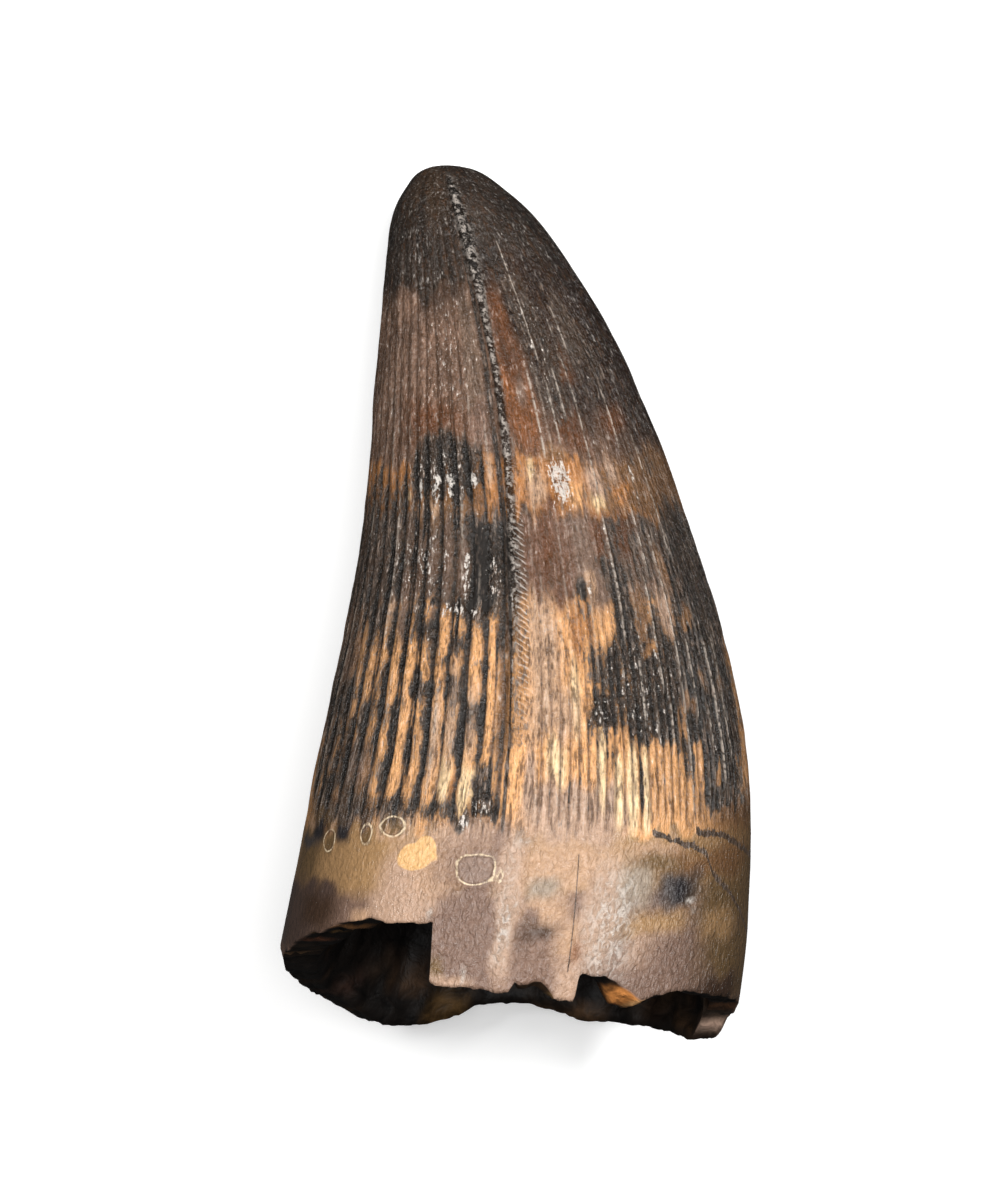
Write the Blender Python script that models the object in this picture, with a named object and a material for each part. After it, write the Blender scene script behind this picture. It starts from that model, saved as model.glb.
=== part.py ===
"""Fossil tooth of a giant crocodilian, lying on its side: a hollow, ridged, curved cone with a broken base.

The tooth lies with its tip toward +Y and its broken base toward -Y. The bulging outer side faces +X and
the tip leans to -X. One cutting keel faces up, the other faces the floor. The body is a sphere whose
points are moved to the tooth's form, and everything that is missing from it is cut away. "Distance"
below is always the distance from the tip, along -Y.
"""

import math

import bmesh
import bpy
import numpy as np

MM = 0.001
TURN = 2 * math.pi

# The outline: half the width at each distance
HALF_WIDTHS = (
    (0.0, 0.0),
    (0.25 * MM, 1.2 * MM),
    (1.0 * MM, 2.08 * MM),
    (2.4 * MM, 3.1 * MM),
    (4.7 * MM, 4.0 * MM),
    (9.5 * MM, 5.43 * MM),
    (16.0 * MM, 6.87 * MM),
    (21.5 * MM, 8.1 * MM),
    (27.5 * MM, 9.08 * MM),
    (31.5 * MM, 9.38 * MM),
    (40.0 * MM, 9.35 * MM),
)
BODY_LENGTH = 40.0 * MM
THICKNESS_RATIO = 0.86

# The centre line: it bulges to +X, and it rises toward the base as a cone's does on a floor
BEND_X = 1.82 * MM
BEND_AT = 21.9 * MM
BEND_PER_METRE = 7.7
RISE = 0.185
AXIS_HEIGHT_AT_TIP = 2.85 * MM

# The body's grid: an even number of columns, since each ridge takes two, and rings that crowd to the tip
COLUMNS = 112
RINGS = 33
RING_CROWDING = 1.7

# Enamel ridges, which swell and shrink along their way and stop where the root begins
RIDGE_HEIGHT = 0.12 * MM
RIDGE_VARIATION = 0.35
RIDGES_START = 3.0 * MM
ENAMEL_END = 27.4 * MM
ENAMEL_FADE = 1.6 * MM

# The keels: one column each, on the top and on the underside, with a fine groove at each side
KEEL_COLUMN = 30
KEEL_HEIGHT = 0.34 * MM
KEEL_GROOVE = 0.05 * MM
KEEL_START = 1.0 * MM
KEEL_END = 27.0 * MM
KEEL_FADE = 6.0 * MM

# The underside is rubbed smooth where it lies
WORN_FROM = 5.0 * MM
WORN_TO = 29.0 * MM
WORN_FADE = 2.0 * MM
WORN_HALF_ANGLE = math.radians(32)

# The broken base: a rough plane that leans as the base does
BREAK_DISTANCE = 34.6 * MM
BREAK_MID_HEIGHT = 8.85 * MM
BREAK_LEAN = 0.19
BREAK_ROUGHNESS = 0.08 * MM
BREAK_HALF_SIZE = 13.0 * MM
# Lobes that reach further than the plain break: X, half the width and the reach
LOWER_LOBES = (
    (-3.7 * MM, 2.1 * MM, 1.15 * MM),
    (4.7 * MM, 2.2 * MM, 0.85 * MM),
    (9.0 * MM, 1.9 * MM, 1.6 * MM),
)
UPPER_LOBES = ((3.8 * MM, 2.3 * MM, 0.5 * MM),)
LOWER_LOBES_END = 8.8 * MM
UPPER_LOBES_START = 11.0 * MM
LOBE_FADE = 2.0 * MM
# The left side is shorter: between these two places left of the middle the break steps toward the tip
LEFT_STEP = (6.3 * MM, 8.2 * MM)
LEFT_RISE = 1.4 * MM

# The square notch in the upper wall: its outline from above, X and distance, and its floor's height
NOTCH_OUTLINE = (
    (-2.12 * MM, 42.0 * MM),
    (-2.12 * MM, 30.9 * MM),
    (-5.2 * MM, 31.05 * MM),
    (-7.4 * MM, 31.7 * MM),
    (-9.0 * MM, 32.9 * MM),
    (-13.0 * MM, 33.2 * MM),
    (-13.0 * MM, 42.0 * MM),
)
NOTCH_FLOOR = 9.3 * MM

# The arched opening in the upper wall's edge, given in the same way
ARCH_OUTLINE = (
    (3.28 * MM, 42.0 * MM),
    (3.28 * MM, 32.6 * MM),
    (3.75 * MM, 32.45 * MM),
    (4.35 * MM, 32.6 * MM),
    (4.95 * MM, 33.05 * MM),
    (5.5 * MM, 33.6 * MM),
    (5.6 * MM, 42.0 * MM),
)
ARCH_FLOOR = 13.0 * MM
GAP_HEIGHT = 12.0 * MM

# Flakes off the upper edge: the middle's X, distance and height, then half the size along X, Y and Z
ARCH_FLAKE = ((4.9 * MM, 33.3 * MM, 17.0 * MM), (1.1 * MM, 0.9 * MM, 1.1 * MM))
EDGE_FLAKE = ((2.1 * MM, 33.4 * MM, 17.3 * MM), (0.95 * MM, 0.6 * MM, 0.9 * MM))

# Pits in the upper surface: the middle's X and distance, half the size along X and Y, and the depth
LONG_PIT = ((-0.22 * MM, 17.1 * MM), (0.78 * MM, 1.8 * MM), 0.3 * MM)
SHORT_PIT = ((3.75 * MM, 18.5 * MM), (0.2 * MM, 0.45 * MM), 0.35 * MM)
PIT_CUTTER_HEIGHT = 2.0 * MM

# The pulp cavity: half its width at the broken base, its blind end, and its lumpy wall
CAVITY_HALF_WIDTH = 8.45 * MM
CAVITY_END = 15.5 * MM
CAVITY_LENGTH = 24.0 * MM
CAVITY_FULLNESS = 0.62
CAVITY_COLUMNS = 44
CAVITY_RINGS = 18
CAVITY_CROWDING = 1.4
CAVITY_LUMPS = 0.28 * MM

# The block that takes the underside down to the floor plane: its size along X, Y and Z
FLOOR_CUT = (40.0 * MM, 60.0 * MM, 10.0 * MM)

FOSSIL_BROWN = (0.16, 0.085, 0.045, 1.0)
FOSSIL_ROUGHNESS = 0.42


def smooth_step(low, high, value):
    """0 below low and 1 above high, with a smooth S between them."""
    x = np.clip((value - low) / (high - low), 0.0, 1.0)
    return x * x * (3.0 - 2.0 * x)


def half_width(distance):
    """A cubic curve through HALF_WIDTHS, over the square root of the distance so that the tip is round."""
    knots = np.sqrt([d for d, w in HALF_WIDTHS])
    widths = np.array([w for d, w in HALF_WIDTHS])
    slopes = np.gradient(widths, knots)
    place = np.sqrt(np.clip(distance, 0.0, None))
    i = np.clip(np.searchsorted(knots, place, side="right") - 1, 0, len(knots) - 2)
    step = knots[i + 1] - knots[i]
    x = (place - knots[i]) / step
    return (
        widths[i] * (1 + 2 * x) * (1 - x) ** 2
        + slopes[i] * step * x * (1 - x) ** 2
        + widths[i + 1] * (3 - 2 * x) * x**2
        + slopes[i + 1] * step * (x - 1) * x**2
    )


def centre_x(distance):
    """The centre line's X: an arc with its furthest point at BEND_AT."""
    return BEND_X - BEND_PER_METRE * (distance - BEND_AT) ** 2


def centre_z(distance):
    """The centre line's height."""
    return AXIS_HEIGHT_AT_TIP + RISE * distance


def top_height(x, distance):
    """The height of the plain upper surface over a place, before ridges."""
    wide = half_width(distance)
    across = np.clip((x - centre_x(distance)) / wide, -1.0, 1.0)
    return centre_z(distance) + THICKNESS_RATIO * wide * np.sqrt(1.0 - across**2)


def worn_share(angle, distance):
    """1 where the underside is rubbed smooth, and 0 elsewhere."""
    from_below = np.abs((angle + 0.75 * TURN) % TURN - TURN / 2)
    beside = smooth_step(WORN_HALF_ANGLE / 2, WORN_HALF_ANGLE, from_below)
    before = 1.0 - smooth_step(WORN_FROM - WORN_FADE, WORN_FROM, distance)
    past = smooth_step(WORN_TO, WORN_TO + WORN_FADE, distance)
    return (1.0 - beside) * (1.0 - before) * (1.0 - past)


def surface_relief(angle, distance):
    """How far the surface stands out of the plain cone: ridges along the enamel, and the two keels."""
    column = np.rint(angle / TURN * COLUMNS).astype(int) % COLUMNS
    unworn = 1.0 - worn_share(angle, distance)
    grown = smooth_step(0.1 * RIDGES_START, RIDGES_START, distance)
    enamel = 1.0 - smooth_step(ENAMEL_END - ENAMEL_FADE, ENAMEL_END, distance)
    crest = np.where(column % 2 == 0, 1.0, -1.0)
    waves = np.sin(3.7 * angle + distance / (1.1 * MM)) * np.sin(2.3 * angle - distance / (2.5 * MM))
    ridges = RIDGE_HEIGHT * crest * (1.0 + RIDGE_VARIATION * waves) * grown * enamel * unworn

    half_round = COLUMNS // 2
    apart = np.minimum((column - KEEL_COLUMN) % half_round, (KEEL_COLUMN - column) % half_round)
    keel = (1.0 - smooth_step(KEEL_END - KEEL_FADE, KEEL_END, distance)) * unworn
    keel_top = KEEL_HEIGHT * keel * smooth_step(0.0, KEEL_START, distance)
    return np.select([apart == 0, apart == 1], [keel_top, -KEEL_GROOVE * keel * grown], ridges)


def tooth_points(angle, distance, half, relief):
    """Points on an oval section of the given half-width, moved out square to the oval by the relief."""
    thick = THICKNESS_RATIO * half
    out_x, out_z = np.cos(angle) * thick, np.sin(angle) * half
    size = np.maximum(np.hypot(out_x, out_z), 1e-9)
    x = centre_x(distance) + half * np.cos(angle) + relief * out_x / size
    z = centre_z(distance) + thick * np.sin(angle) + relief * out_z / size
    return np.stack([x, -distance, z], axis=1)


def new_object(name, mesh_builder, collection, parent):
    """An object with the mesh that a function puts into a bmesh."""
    bm = bmesh.new()
    mesh_builder(bm)
    bmesh.ops.recalc_face_normals(bm, faces=bm.faces)
    mesh = bpy.data.meshes.new(name)
    bm.to_mesh(mesh)
    bm.free()
    obj = bpy.data.objects.new(name, mesh)
    collection.objects.link(obj)
    obj.parent = parent
    return obj


def move_sphere(bm, columns, rings, place):
    """A unit sphere, moved to place(angle, along, open_end).

    along runs from 0 at one pole to 1 at the last ring. open_end is 1 as far as that ring and 0 at the
    second pole, so that the shape closes there with a flat cap.
    """
    bmesh.ops.create_uvsphere(bm, u_segments=columns, v_segments=rings, radius=1.0)
    spots = np.array([v.co for v in bm.verts])
    angle = np.arctan2(spots[:, 1], spots[:, 0]) % TURN
    from_pole = np.arccos(np.clip(spots[:, 2], -1.0, 1.0)) / math.pi
    last_ring = 1.0 - 1.0 / rings
    open_end = np.where(from_pole > (last_ring + 1.0) / 2, 0.0, 1.0)
    for vert, point in zip(bm.verts, place(angle, np.minimum(from_pole / last_ring, 1.0), open_end)):
        vert.co = point


def build_body(bm):
    """The whole tooth before anything broke off."""

    def place(angle, along, open_end):
        distance = BODY_LENGTH * along**RING_CROWDING
        relief = surface_relief(angle, distance) * open_end
        return tooth_points(angle, distance, half_width(distance) * open_end, relief)

    move_sphere(bm, COLUMNS, RINGS, place)


def build_cavity(bm):
    """The hollow that held the pulp: a blunt cone with lumpy walls, open past the broken base."""

    def place(angle, along, open_end):
        distance = CAVITY_END + CAVITY_LENGTH * along**CAVITY_CROWDING
        mouth = np.minimum((distance - CAVITY_END) / (BREAK_DISTANCE - CAVITY_END), 1.0)
        half = CAVITY_HALF_WIDTH * mouth**CAVITY_FULLNESS * open_end
        large = np.sin(5 * angle + distance / (1.54 * MM)) * np.sin(3 * angle - distance / (0.91 * MM))
        small = np.sin(8 * angle + distance / (0.67 * MM))
        relief = CAVITY_LUMPS * (large + 0.6 * small) * mouth * open_end
        return tooth_points(angle, distance, half, relief)

    move_sphere(bm, CAVITY_COLUMNS, CAVITY_RINGS, place)


def break_distance(x, z):
    """The distance at which the base broke off: a leaning plane with lobes and a shorter left side."""
    broken = BREAK_DISTANCE - BREAK_LEAN * (z - BREAK_MID_HEIGHT)
    low = 1.0 - smooth_step(LOWER_LOBES_END - LOBE_FADE, LOWER_LOBES_END, z)
    high = smooth_step(UPPER_LOBES_START, UPPER_LOBES_START + LOBE_FADE, z)
    for side, lobes in ((low, LOWER_LOBES), (high, UPPER_LOBES)):
        for at, spread, reach in lobes:
            broken = broken + reach * side * np.exp(-(((x - at) / spread) ** 2))
    broken = broken - LEFT_RISE * smooth_step(*LEFT_STEP, -x)
    coarse = np.sin(x / (0.59 * MM) - z / (0.4 * MM))
    fine = np.sin(x / (0.34 * MM) + 1.0) * np.sin(z / (0.43 * MM))
    return broken + BREAK_ROUGHNESS * (fine + 0.7 * coarse)


def build_break(bm):
    """Everything past the broken base, as a block whose near face is the rough break."""
    bmesh.ops.create_grid(bm, x_segments=34, y_segments=30, size=BREAK_HALF_SIZE)
    for vert in bm.verts:
        x, z = vert.co.x, vert.co.y + BREAK_MID_HEIGHT
        vert.co = (x, -float(break_distance(x, z)), z)
    far = bmesh.ops.extrude_face_region(bm, geom=bm.faces[:])
    for item in far["geom"]:
        if isinstance(item, bmesh.types.BMVert):
            item.co.y = -1.1 * BODY_LENGTH


def build_gap(outline, floor_height):
    """A missing piece of the upper wall: its outline, drawn up from the given height."""

    def build(bm):
        ring = [bm.verts.new((x, -distance, floor_height)) for x, distance in outline]
        raised = bmesh.ops.extrude_face_region(bm, geom=[bm.faces.new(ring)])
        tall = [item for item in raised["geom"] if isinstance(item, bmesh.types.BMVert)]
        bmesh.ops.translate(bm, verts=tall, vec=(0, 0, GAP_HEIGHT))

    return build


def build_flake(place, half_size):
    """A rounded flake that came off the outside of the upper wall's edge."""

    def build(bm):
        bmesh.ops.create_uvsphere(bm, u_segments=16, v_segments=10, radius=1.0)
        bmesh.ops.scale(bm, verts=bm.verts, vec=half_size)
        bmesh.ops.translate(bm, verts=bm.verts, vec=(place[0], -place[1], place[2]))

    return build


def build_pit(middle, half_size, depth):
    """A shallow square-ended pit: a block whose floor follows the upper surface at the given depth."""

    def build(bm):
        bmesh.ops.create_cube(bm, size=2.0)
        bmesh.ops.subdivide_edges(bm, edges=bm.edges[:], cuts=2, use_grid_fill=True)
        for vert in bm.verts:
            x = middle[0] + vert.co.x * half_size[0]
            distance = middle[1] + vert.co.y * half_size[1]
            above_floor = (vert.co.z + 1.0) / 2 * PIT_CUTTER_HEIGHT
            vert.co = (x, -distance, float(top_height(x, distance)) - depth + above_floor)

    return build


def build_floor_cut(bm):
    """Everything under the floor plane, so that the tooth has a small worn flat to lie on."""
    bmesh.ops.create_cube(bm, size=1.0)
    bmesh.ops.scale(bm, verts=bm.verts, vec=FLOOR_CUT)
    bmesh.ops.translate(bm, verts=bm.verts, vec=(0, -BODY_LENGTH / 2, -FLOOR_CUT[2] / 2))


def fossil_material():
    """Brown, dense, slightly glossy fossil enamel and dentine."""
    material = bpy.data.materials.new("fossil_tooth")
    material.use_nodes = True
    shader = material.node_tree.nodes["Principled BSDF"]
    shader.inputs["Base Color"].default_value = FOSSIL_BROWN
    shader.inputs["Roughness"].default_value = FOSSIL_ROUGHNESS
    shader.inputs["Metallic"].default_value = 0.0
    return material


def cut(body, cutter):
    """Takes a cutter's volume out of the body."""
    cutter.hide_render = True
    cutter.display_type = "WIRE"
    boolean = body.modifiers.new("cut_" + cutter.name, "BOOLEAN")
    boolean.operation = "DIFFERENCE"
    boolean.solver = "EXACT"
    boolean.object = cutter


def move_to_origin(frame, body):
    """Moves the frame so that the finished tooth's box stands on the origin."""
    bpy.context.view_layer.update()
    shown = body.evaluated_get(bpy.context.evaluated_depsgraph_get())
    spots = np.array([shown.matrix_world @ v.co for v in shown.data.vertices])
    low, high = spots.min(axis=0), spots.max(axis=0)
    middle = (low + high) / 2
    frame.location = (-middle[0], -middle[1], -low[2])
    bpy.context.view_layer.update()


def main():
    for old in list(bpy.data.objects):
        bpy.data.objects.remove(old, do_unlink=True)
    parts = bpy.data.collections.new("fossil_tooth")
    cutters = bpy.data.collections.new("cutters")
    for collection in (parts, cutters):
        bpy.context.scene.collection.children.link(collection)
    frame = bpy.data.objects.new("tooth_frame", None)
    parts.objects.link(frame)

    tooth = new_object("tooth", build_body, parts, frame)
    tooth.data.materials.append(fossil_material())
    missing = (
        ("broken_base", build_break),
        ("pulp_cavity", build_cavity),
        ("notch", build_gap(NOTCH_OUTLINE, NOTCH_FLOOR)),
        ("arched_opening", build_gap(ARCH_OUTLINE, ARCH_FLOOR)),
        ("arch_flake", build_flake(*ARCH_FLAKE)),
        ("edge_flake", build_flake(*EDGE_FLAKE)),
        ("long_pit", build_pit(*LONG_PIT)),
        ("short_pit", build_pit(*SHORT_PIT)),
        ("worn_flat", build_floor_cut),
    )
    for name, builder in missing:
        cut(tooth, new_object(name, builder, cutters, frame))
    move_to_origin(frame, tooth)


main()
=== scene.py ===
"""A fossil tooth of a giant crocodilian: a ridged, stained, hollow cone with a broken base, on a pale floor.

The tooth is one closed surface, worked out as a grid of columns, which run from the tip over the
outside, through the broken rim and up the pulp cavity, and rows, which run round it. The grid's own
sizes are millimetres and degrees: "distance" is measured from the tip toward the base, and an angle
goes round from the bulging side (0) over the top (90), where the upper keel is, to the leaning side
(180). Columns follow the enamel's ridges, so every ridge, groove and keel is sharp in the mesh.
"""

import bpy
import numpy as np
from bpy.props import FloatProperty, FloatVectorProperty, PointerProperty
from mathutils import Matrix, Vector


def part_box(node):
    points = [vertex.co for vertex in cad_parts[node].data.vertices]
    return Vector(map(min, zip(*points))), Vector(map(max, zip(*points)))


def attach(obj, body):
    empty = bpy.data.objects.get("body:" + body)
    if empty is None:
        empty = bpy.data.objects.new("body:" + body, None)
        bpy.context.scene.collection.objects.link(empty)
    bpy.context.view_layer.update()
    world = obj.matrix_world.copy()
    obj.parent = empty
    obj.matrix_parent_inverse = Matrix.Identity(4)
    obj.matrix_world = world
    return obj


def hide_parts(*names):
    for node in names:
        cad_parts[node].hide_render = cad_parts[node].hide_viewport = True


bl_info = {
    "name": "Fossil tooth",
    "version": (1, 0, 0),
    "blender": (4, 5, 0),
    "location": "3D View > Sidebar > Fossil tooth",
    "description": "A ridged, stained and broken fossil crocodilian tooth, and a pale stage for it",
    "category": "Object",
}

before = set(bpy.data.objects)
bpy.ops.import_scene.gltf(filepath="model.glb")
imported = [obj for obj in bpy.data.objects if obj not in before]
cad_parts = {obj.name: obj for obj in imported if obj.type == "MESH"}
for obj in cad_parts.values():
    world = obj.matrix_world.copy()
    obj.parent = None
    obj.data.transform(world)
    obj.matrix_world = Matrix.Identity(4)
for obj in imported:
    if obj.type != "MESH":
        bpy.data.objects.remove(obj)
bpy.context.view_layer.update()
TOOTH_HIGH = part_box("tooth")[1]

MM = 0.001
TURN = 360.0

# The tooth's tip is at the box's far end, and its centre line leaves the box's middle by this much
TIP_Y = TOOTH_HIGH[1] / MM
CENTRE_LINE_SHIFT = -1.0464

# The outline: half the width at each distance, with the thickness a fixed share of it
HALF_WIDTHS = (
    (0.0, 0.0), (0.25, 1.2), (1.0, 2.08), (2.4, 3.1), (4.7, 4.0), (9.5, 5.43),
    (16.0, 6.87), (21.5, 8.1), (27.5, 9.08), (31.5, 9.38), (40.0, 9.35),
)
THICKNESS_RATIO = 0.86
BEND_X, BEND_AT, BEND = 1.82, 21.9, 0.0077
AXIS_HEIGHT_AT_TIP, RISE = 2.85, 0.185

# Bands of columns: where each starts and ends, how many ridges it has, and the columns of each ridge
RIDGE_BANDS = (
    (0.0, 91.2, 38, 4),
    (91.2, 99.2, 1, 16),
    (99.2, 180.0, 15, 8),
    (180.0, 360.0, 34, 4),
)
KEEL_BAND = 1

# Rows of the grid: fine over the upper part, coarser below it
TIP_ROWS, TIP_END = 9, 1.0
UPPER_ROWS, UPPER_END = 84, 15.0
LOWER_ROWS, ENAMEL_END = 58, 27.5
ROOT_ROWS, FACE_ROWS, CAVITY_ROWS = 34, 6, 22
ENAMEL_FADE = 1.0
RIDGES_START = 2.0
# A rubbed place without ridges: its middle's angle and distance, half its size, and its edge's softness
SMOOTH_PLACE = (103.4, 9.2, 4.3, 3.2, 0.2)

# The keels: the upper one is a rope of beads that turns into a fine edge with wrinkles at its right
KEEL_ANGLE_UP, KEEL_ANGLE_LOW = 94.6, 96.0
KEEL_WIDTH, KEEL_WIDER_AT_TIP = 1.6, 3.0
KEEL_ROPE_END = 15.5
KEEL_END = 27.2
UNDER_KEEL_ANGLE, UNDER_KEEL_WIDTH = 276.4, 1.6
KEEL_HEIGHT, UNDER_KEEL_HEIGHT, BEAD_HEIGHT, GUTTER_DEPTH = 0.30, 0.25, 0.06, 0.07
# A bead is three and a half of the grid's upper rows long
BEAD_LENGTH = 3.5 * (UPPER_END - TIP_END) / UPPER_ROWS

# Small relief: fine crests, the ringed scars' edges, a step in the enamel, and a worn stretch of the rim
CREST_HEIGHT, SCAR_EDGE_HEIGHT, SCAR_EDGE_WIDTH, STEP_DEPTH, WORN_RIM_DEPTH = 0.06, 0.03, 0.08, 0.04, 0.18
# Pits: the depth, the middle's angle and distance, half the size, and the edge's softness if it isn't 0.5
PITS = (
    (0.13, 105.3, 17.2, 6, 1.72, 0.12), (0.22, 75.2, 18.35, 0.9, 0.4, 0.4), (0.12, 46, 30.15, 1.6, 0.2),
)

# The worn underside: smooth where it lies
WORN_DISTANCES = (3.0, 5.0, 29.0, 31.0)
WORN_ANGLES = (16.0, 32.0)

# The broken rim: its distance at each angle, and how far round from its column of enamel it has moved
RIM = (
    (0, 34.96), (10, 34.54), (22.8, 34.15), (34, 33.78), (42, 33.56), (48, 33.38), (53, 33.5), (58.5, 33.64),
    (60, 33.5), (62, 33.25), (65, 33), (68, 32.76), (71, 32.62), (73.8, 32.55), (74.6, 32.6), (76.6, 33.5),
    (77.4, 33.56), (80.3, 33.46), (81, 33.3), (82.5, 33), (84, 32.8), (85.6, 32.7), (87, 32.9), (89, 32.95),
    (90.1, 32.8), (90.6, 33), (91.2, 33.18), (94, 33.2), (97, 33.15), (100, 33.06), (105, 33), (107.6, 32.94),
    (108.6, 32.82), (111, 31.7), (112.8, 30.66), (114.5, 30.72), (118, 30.75), (124, 30.78), (128, 30.73),
    (131, 30.8), (133, 30.88), (136, 31), (139, 31.05), (142, 31.2), (143.8, 31.36), (145, 31.5),
    (148, 31.52), (151, 31.62), (155, 31.83), (160, 32.22), (167, 32.56), (173, 32.72), (180, 33),
    (190, 33.72), (200, 34.3), (209, 34.82), (217.6, 35.41), (225, 35.95), (231.4, 36.4), (237.1, 36.68),
    (247, 36.8), (251.5, 36.7), (256, 36.62), (260, 36.4), (264, 36.08), (270.7, 35.92), (281.5, 36.06),
    (291, 36.3), (295.7, 36.54), (311, 36.54), (323, 36.49), (330, 36.5), (339, 36.62), (343, 36.62),
    (346, 36.46), (348.6, 36.1), (350.8, 35.58), (354, 35.36), (358, 35.22), (360, 34.96),
)
RIM_SHIFTS = (
    (71, 0), (73.8, 0.8), (74.6, 0.8), (76.6, -1), (77.4, -0.8), (80.3, 0), (100, 0), (105, 0.2), (107.6, 1),
    (108.6, 1.1), (111, -0.6), (112.8, -1.7), (114.5, -1.5), (118, 0),
)
# How much further the wall's inner edge reaches than its outer one, where the break slopes
RIM_BEVELS = (
    (48, 0), (53, 0.3), (55.5, 0.4), (59.7, 0.45), (62.5, 0.68), (63.8, 0.53), (65.7, 0.32), (68, 0.02),
    (72, 0.12), (74, 0), (80, 0), (82, 0.3), (86, 0.42), (89, 0.3), (91.5, 0), (110, 0), (131, 0.05),
    (141, 0.2), (144, 0), (147, -0.22), (150, -0.05), (153, 0.17), (158, 0.12), (164, -0.1), (172, -0.15),
    (180, -0.1), (188, 0),
)
WALL_THICKNESS = 0.92

# Where features rise and fall, as plateau() takes it, by distance or by angle
CREST_DISTANCES = (7.0, 12.0, 26.5, 27.5)
WRINKLE_DISTANCES, WRINKLE_ANGLES = (14.6, 15.6, 19.0, 25.0), (0.2, 0.9, 3.2, 4.6)
STEP_DISTANCES, STEP_ANGLES = (18.5, 18.85, 18.95, 19.2), (98.0, 99.0, 126.0, 129.0)
WORN_RIM_ANGLES, LEFT_SIDE_ANGLES = (150.0, 170.0, 195.0, 210.0), (97.0, 101.0, 178.0, 186.0)
BROKEN_STAIN_DISTANCES, BROKEN_STAIN_ANGLES = (18.6, 19.2, 26.0, 27.0), (98.5, 101.0, 150.0, 156.0)
SPOTTED_DISTANCES, BLOTCHED_DISTANCES = (18.0, 19.0, 26.0, 27.0), (6.0, 9.0, 27.0, 28.0)

# The pulp cavity: half its width at the mouth, the mouth's distance, the blind end's, and how full it is
CAVITY_HALF_WIDTH, CAVITY_MOUTH, CAVITY_BLIND_END, CAVITY_FULLNESS = 8.45, 34.6, 15.5, 0.62


def smooth_step(low, high, value):
    """0 below low and 1 above high, with a smooth S between them."""
    x = np.clip((value - low) / (high - low), 0.0, 1.0)
    return x * x * (3.0 - 2.0 * x)


def smooth_fall(low, high, value):
    """1 below low and 0 above high, with a smooth S between them."""
    return 1.0 - smooth_step(low, high, value)


def plateau(value, rise_from, rise_to, fall_from, fall_to):
    """A smooth rise from 0 to 1, a level stretch, and a smooth fall back to 0."""
    return smooth_step(rise_from, rise_to, value) * smooth_fall(fall_from, fall_to, value)


def bell(offset, width):
    """1 where the offset is 0, falling to 0 on both sides: e to minus the square of offset over width."""
    return np.exp(-((offset / width) ** 2))


def table(value, pairs):
    """A straight-line reading of a table of (place, value) pairs, which is level beyond its ends."""
    places, values = np.array(pairs).T
    return np.interp(value, places, values)


def apart(angle, other):
    """How far one angle is from another, round the shorter way, with its sign."""
    return (angle - other + TURN / 2) % TURN - TURN / 2


def around_noise(angle, distance, cells, length, seed):
    """Smooth noise between -1 and 1 on the tooth's own grid, with this many cells round it, this long.

    Each grid corner has a random value, and a place takes the four round it, blended by smooth steps.
    """
    corners = np.random.default_rng(seed).uniform(-1.0, 1.0, (cells, 64))
    u = (angle % TURN) / TURN * cells
    v = distance / length + 7.0
    i, j = np.floor(u).astype(int), np.floor(v).astype(int)
    x, y = smooth_step(0.0, 1.0, u - i), smooth_step(0.0, 1.0, v - j)
    i, j = i % cells, j % 63
    near = corners[i, j] * (1 - x) + corners[(i + 1) % cells, j] * x
    far = corners[i, j + 1] * (1 - x) + corners[(i + 1) % cells, j + 1] * x
    return near * (1 - y) + far * y


def layered_noise(angle, distance, *layers):
    """The sum of noises, each given as its strength, its cells round the tooth, its length and its seed."""
    return sum(strength * around_noise(angle, distance, *rest) for strength, *rest in layers)


def half_width(distance):
    """A cubic curve through HALF_WIDTHS, over the square root of the distance so that the tip is round."""
    knots = np.sqrt([d for d, w in HALF_WIDTHS])
    widths = np.array([w for d, w in HALF_WIDTHS])
    slopes = np.gradient(widths, knots)
    place = np.sqrt(np.clip(distance, 0.0, None))
    i = np.clip(np.searchsorted(knots, place, side="right") - 1, 0, len(knots) - 2)
    step = knots[i + 1] - knots[i]
    x = (place - knots[i]) / step
    return (
        widths[i] * (1 + 2 * x) * (1 - x) ** 2
        + slopes[i] * step * x * (1 - x) ** 2
        + widths[i + 1] * (3 - 2 * x) * x**2
        + slopes[i + 1] * step * (x - 1) * x**2
    )


def centre_x(distance):
    """The centre line's X: an arc with its furthest point at BEND_AT."""
    return BEND_X - BEND * (distance - BEND_AT) ** 2


def centre_z(distance):
    """The centre line's height."""
    return AXIS_HEIGHT_AT_TIP + RISE * distance


def oval_points(angle, distance, half, relief):
    """Points on an oval section of the given half-width, moved out square to the oval by the relief.

    They are in the frame's own axes, still in millimetres, and none lies below the floor.
    """
    turn = np.radians(angle)
    thick = THICKNESS_RATIO * half
    out_x, out_z = np.cos(turn) * thick, np.sin(turn) * half
    size = np.maximum(np.hypot(out_x, out_z), 1e-6)
    x = centre_x(distance) + half * np.cos(turn) + relief * out_x / size
    z = centre_z(distance) + thick * np.sin(turn) + relief * out_z / size
    return np.stack([x + CENTRE_LINE_SHIFT, TIP_Y - distance, np.maximum(z, 0.0)], axis=-1)


def column_layout():
    """The columns' angles, each one's place across its ridge from 0 to 1, its ridge, and its band."""
    angles, places, ridges, bands = [], [], [], []
    first = 0
    for band, (start, end, count, width) in enumerate(RIDGE_BANDS):
        step = np.arange(count * width)
        angles.append(start + (end - start) * step / (count * width))
        places.append((step % width) / width)
        ridges.append(first + step // width)
        bands.append(np.full(count * width, band))
        first += count
    return tuple(np.concatenate(part) for part in (angles, places, ridges, bands))


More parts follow.
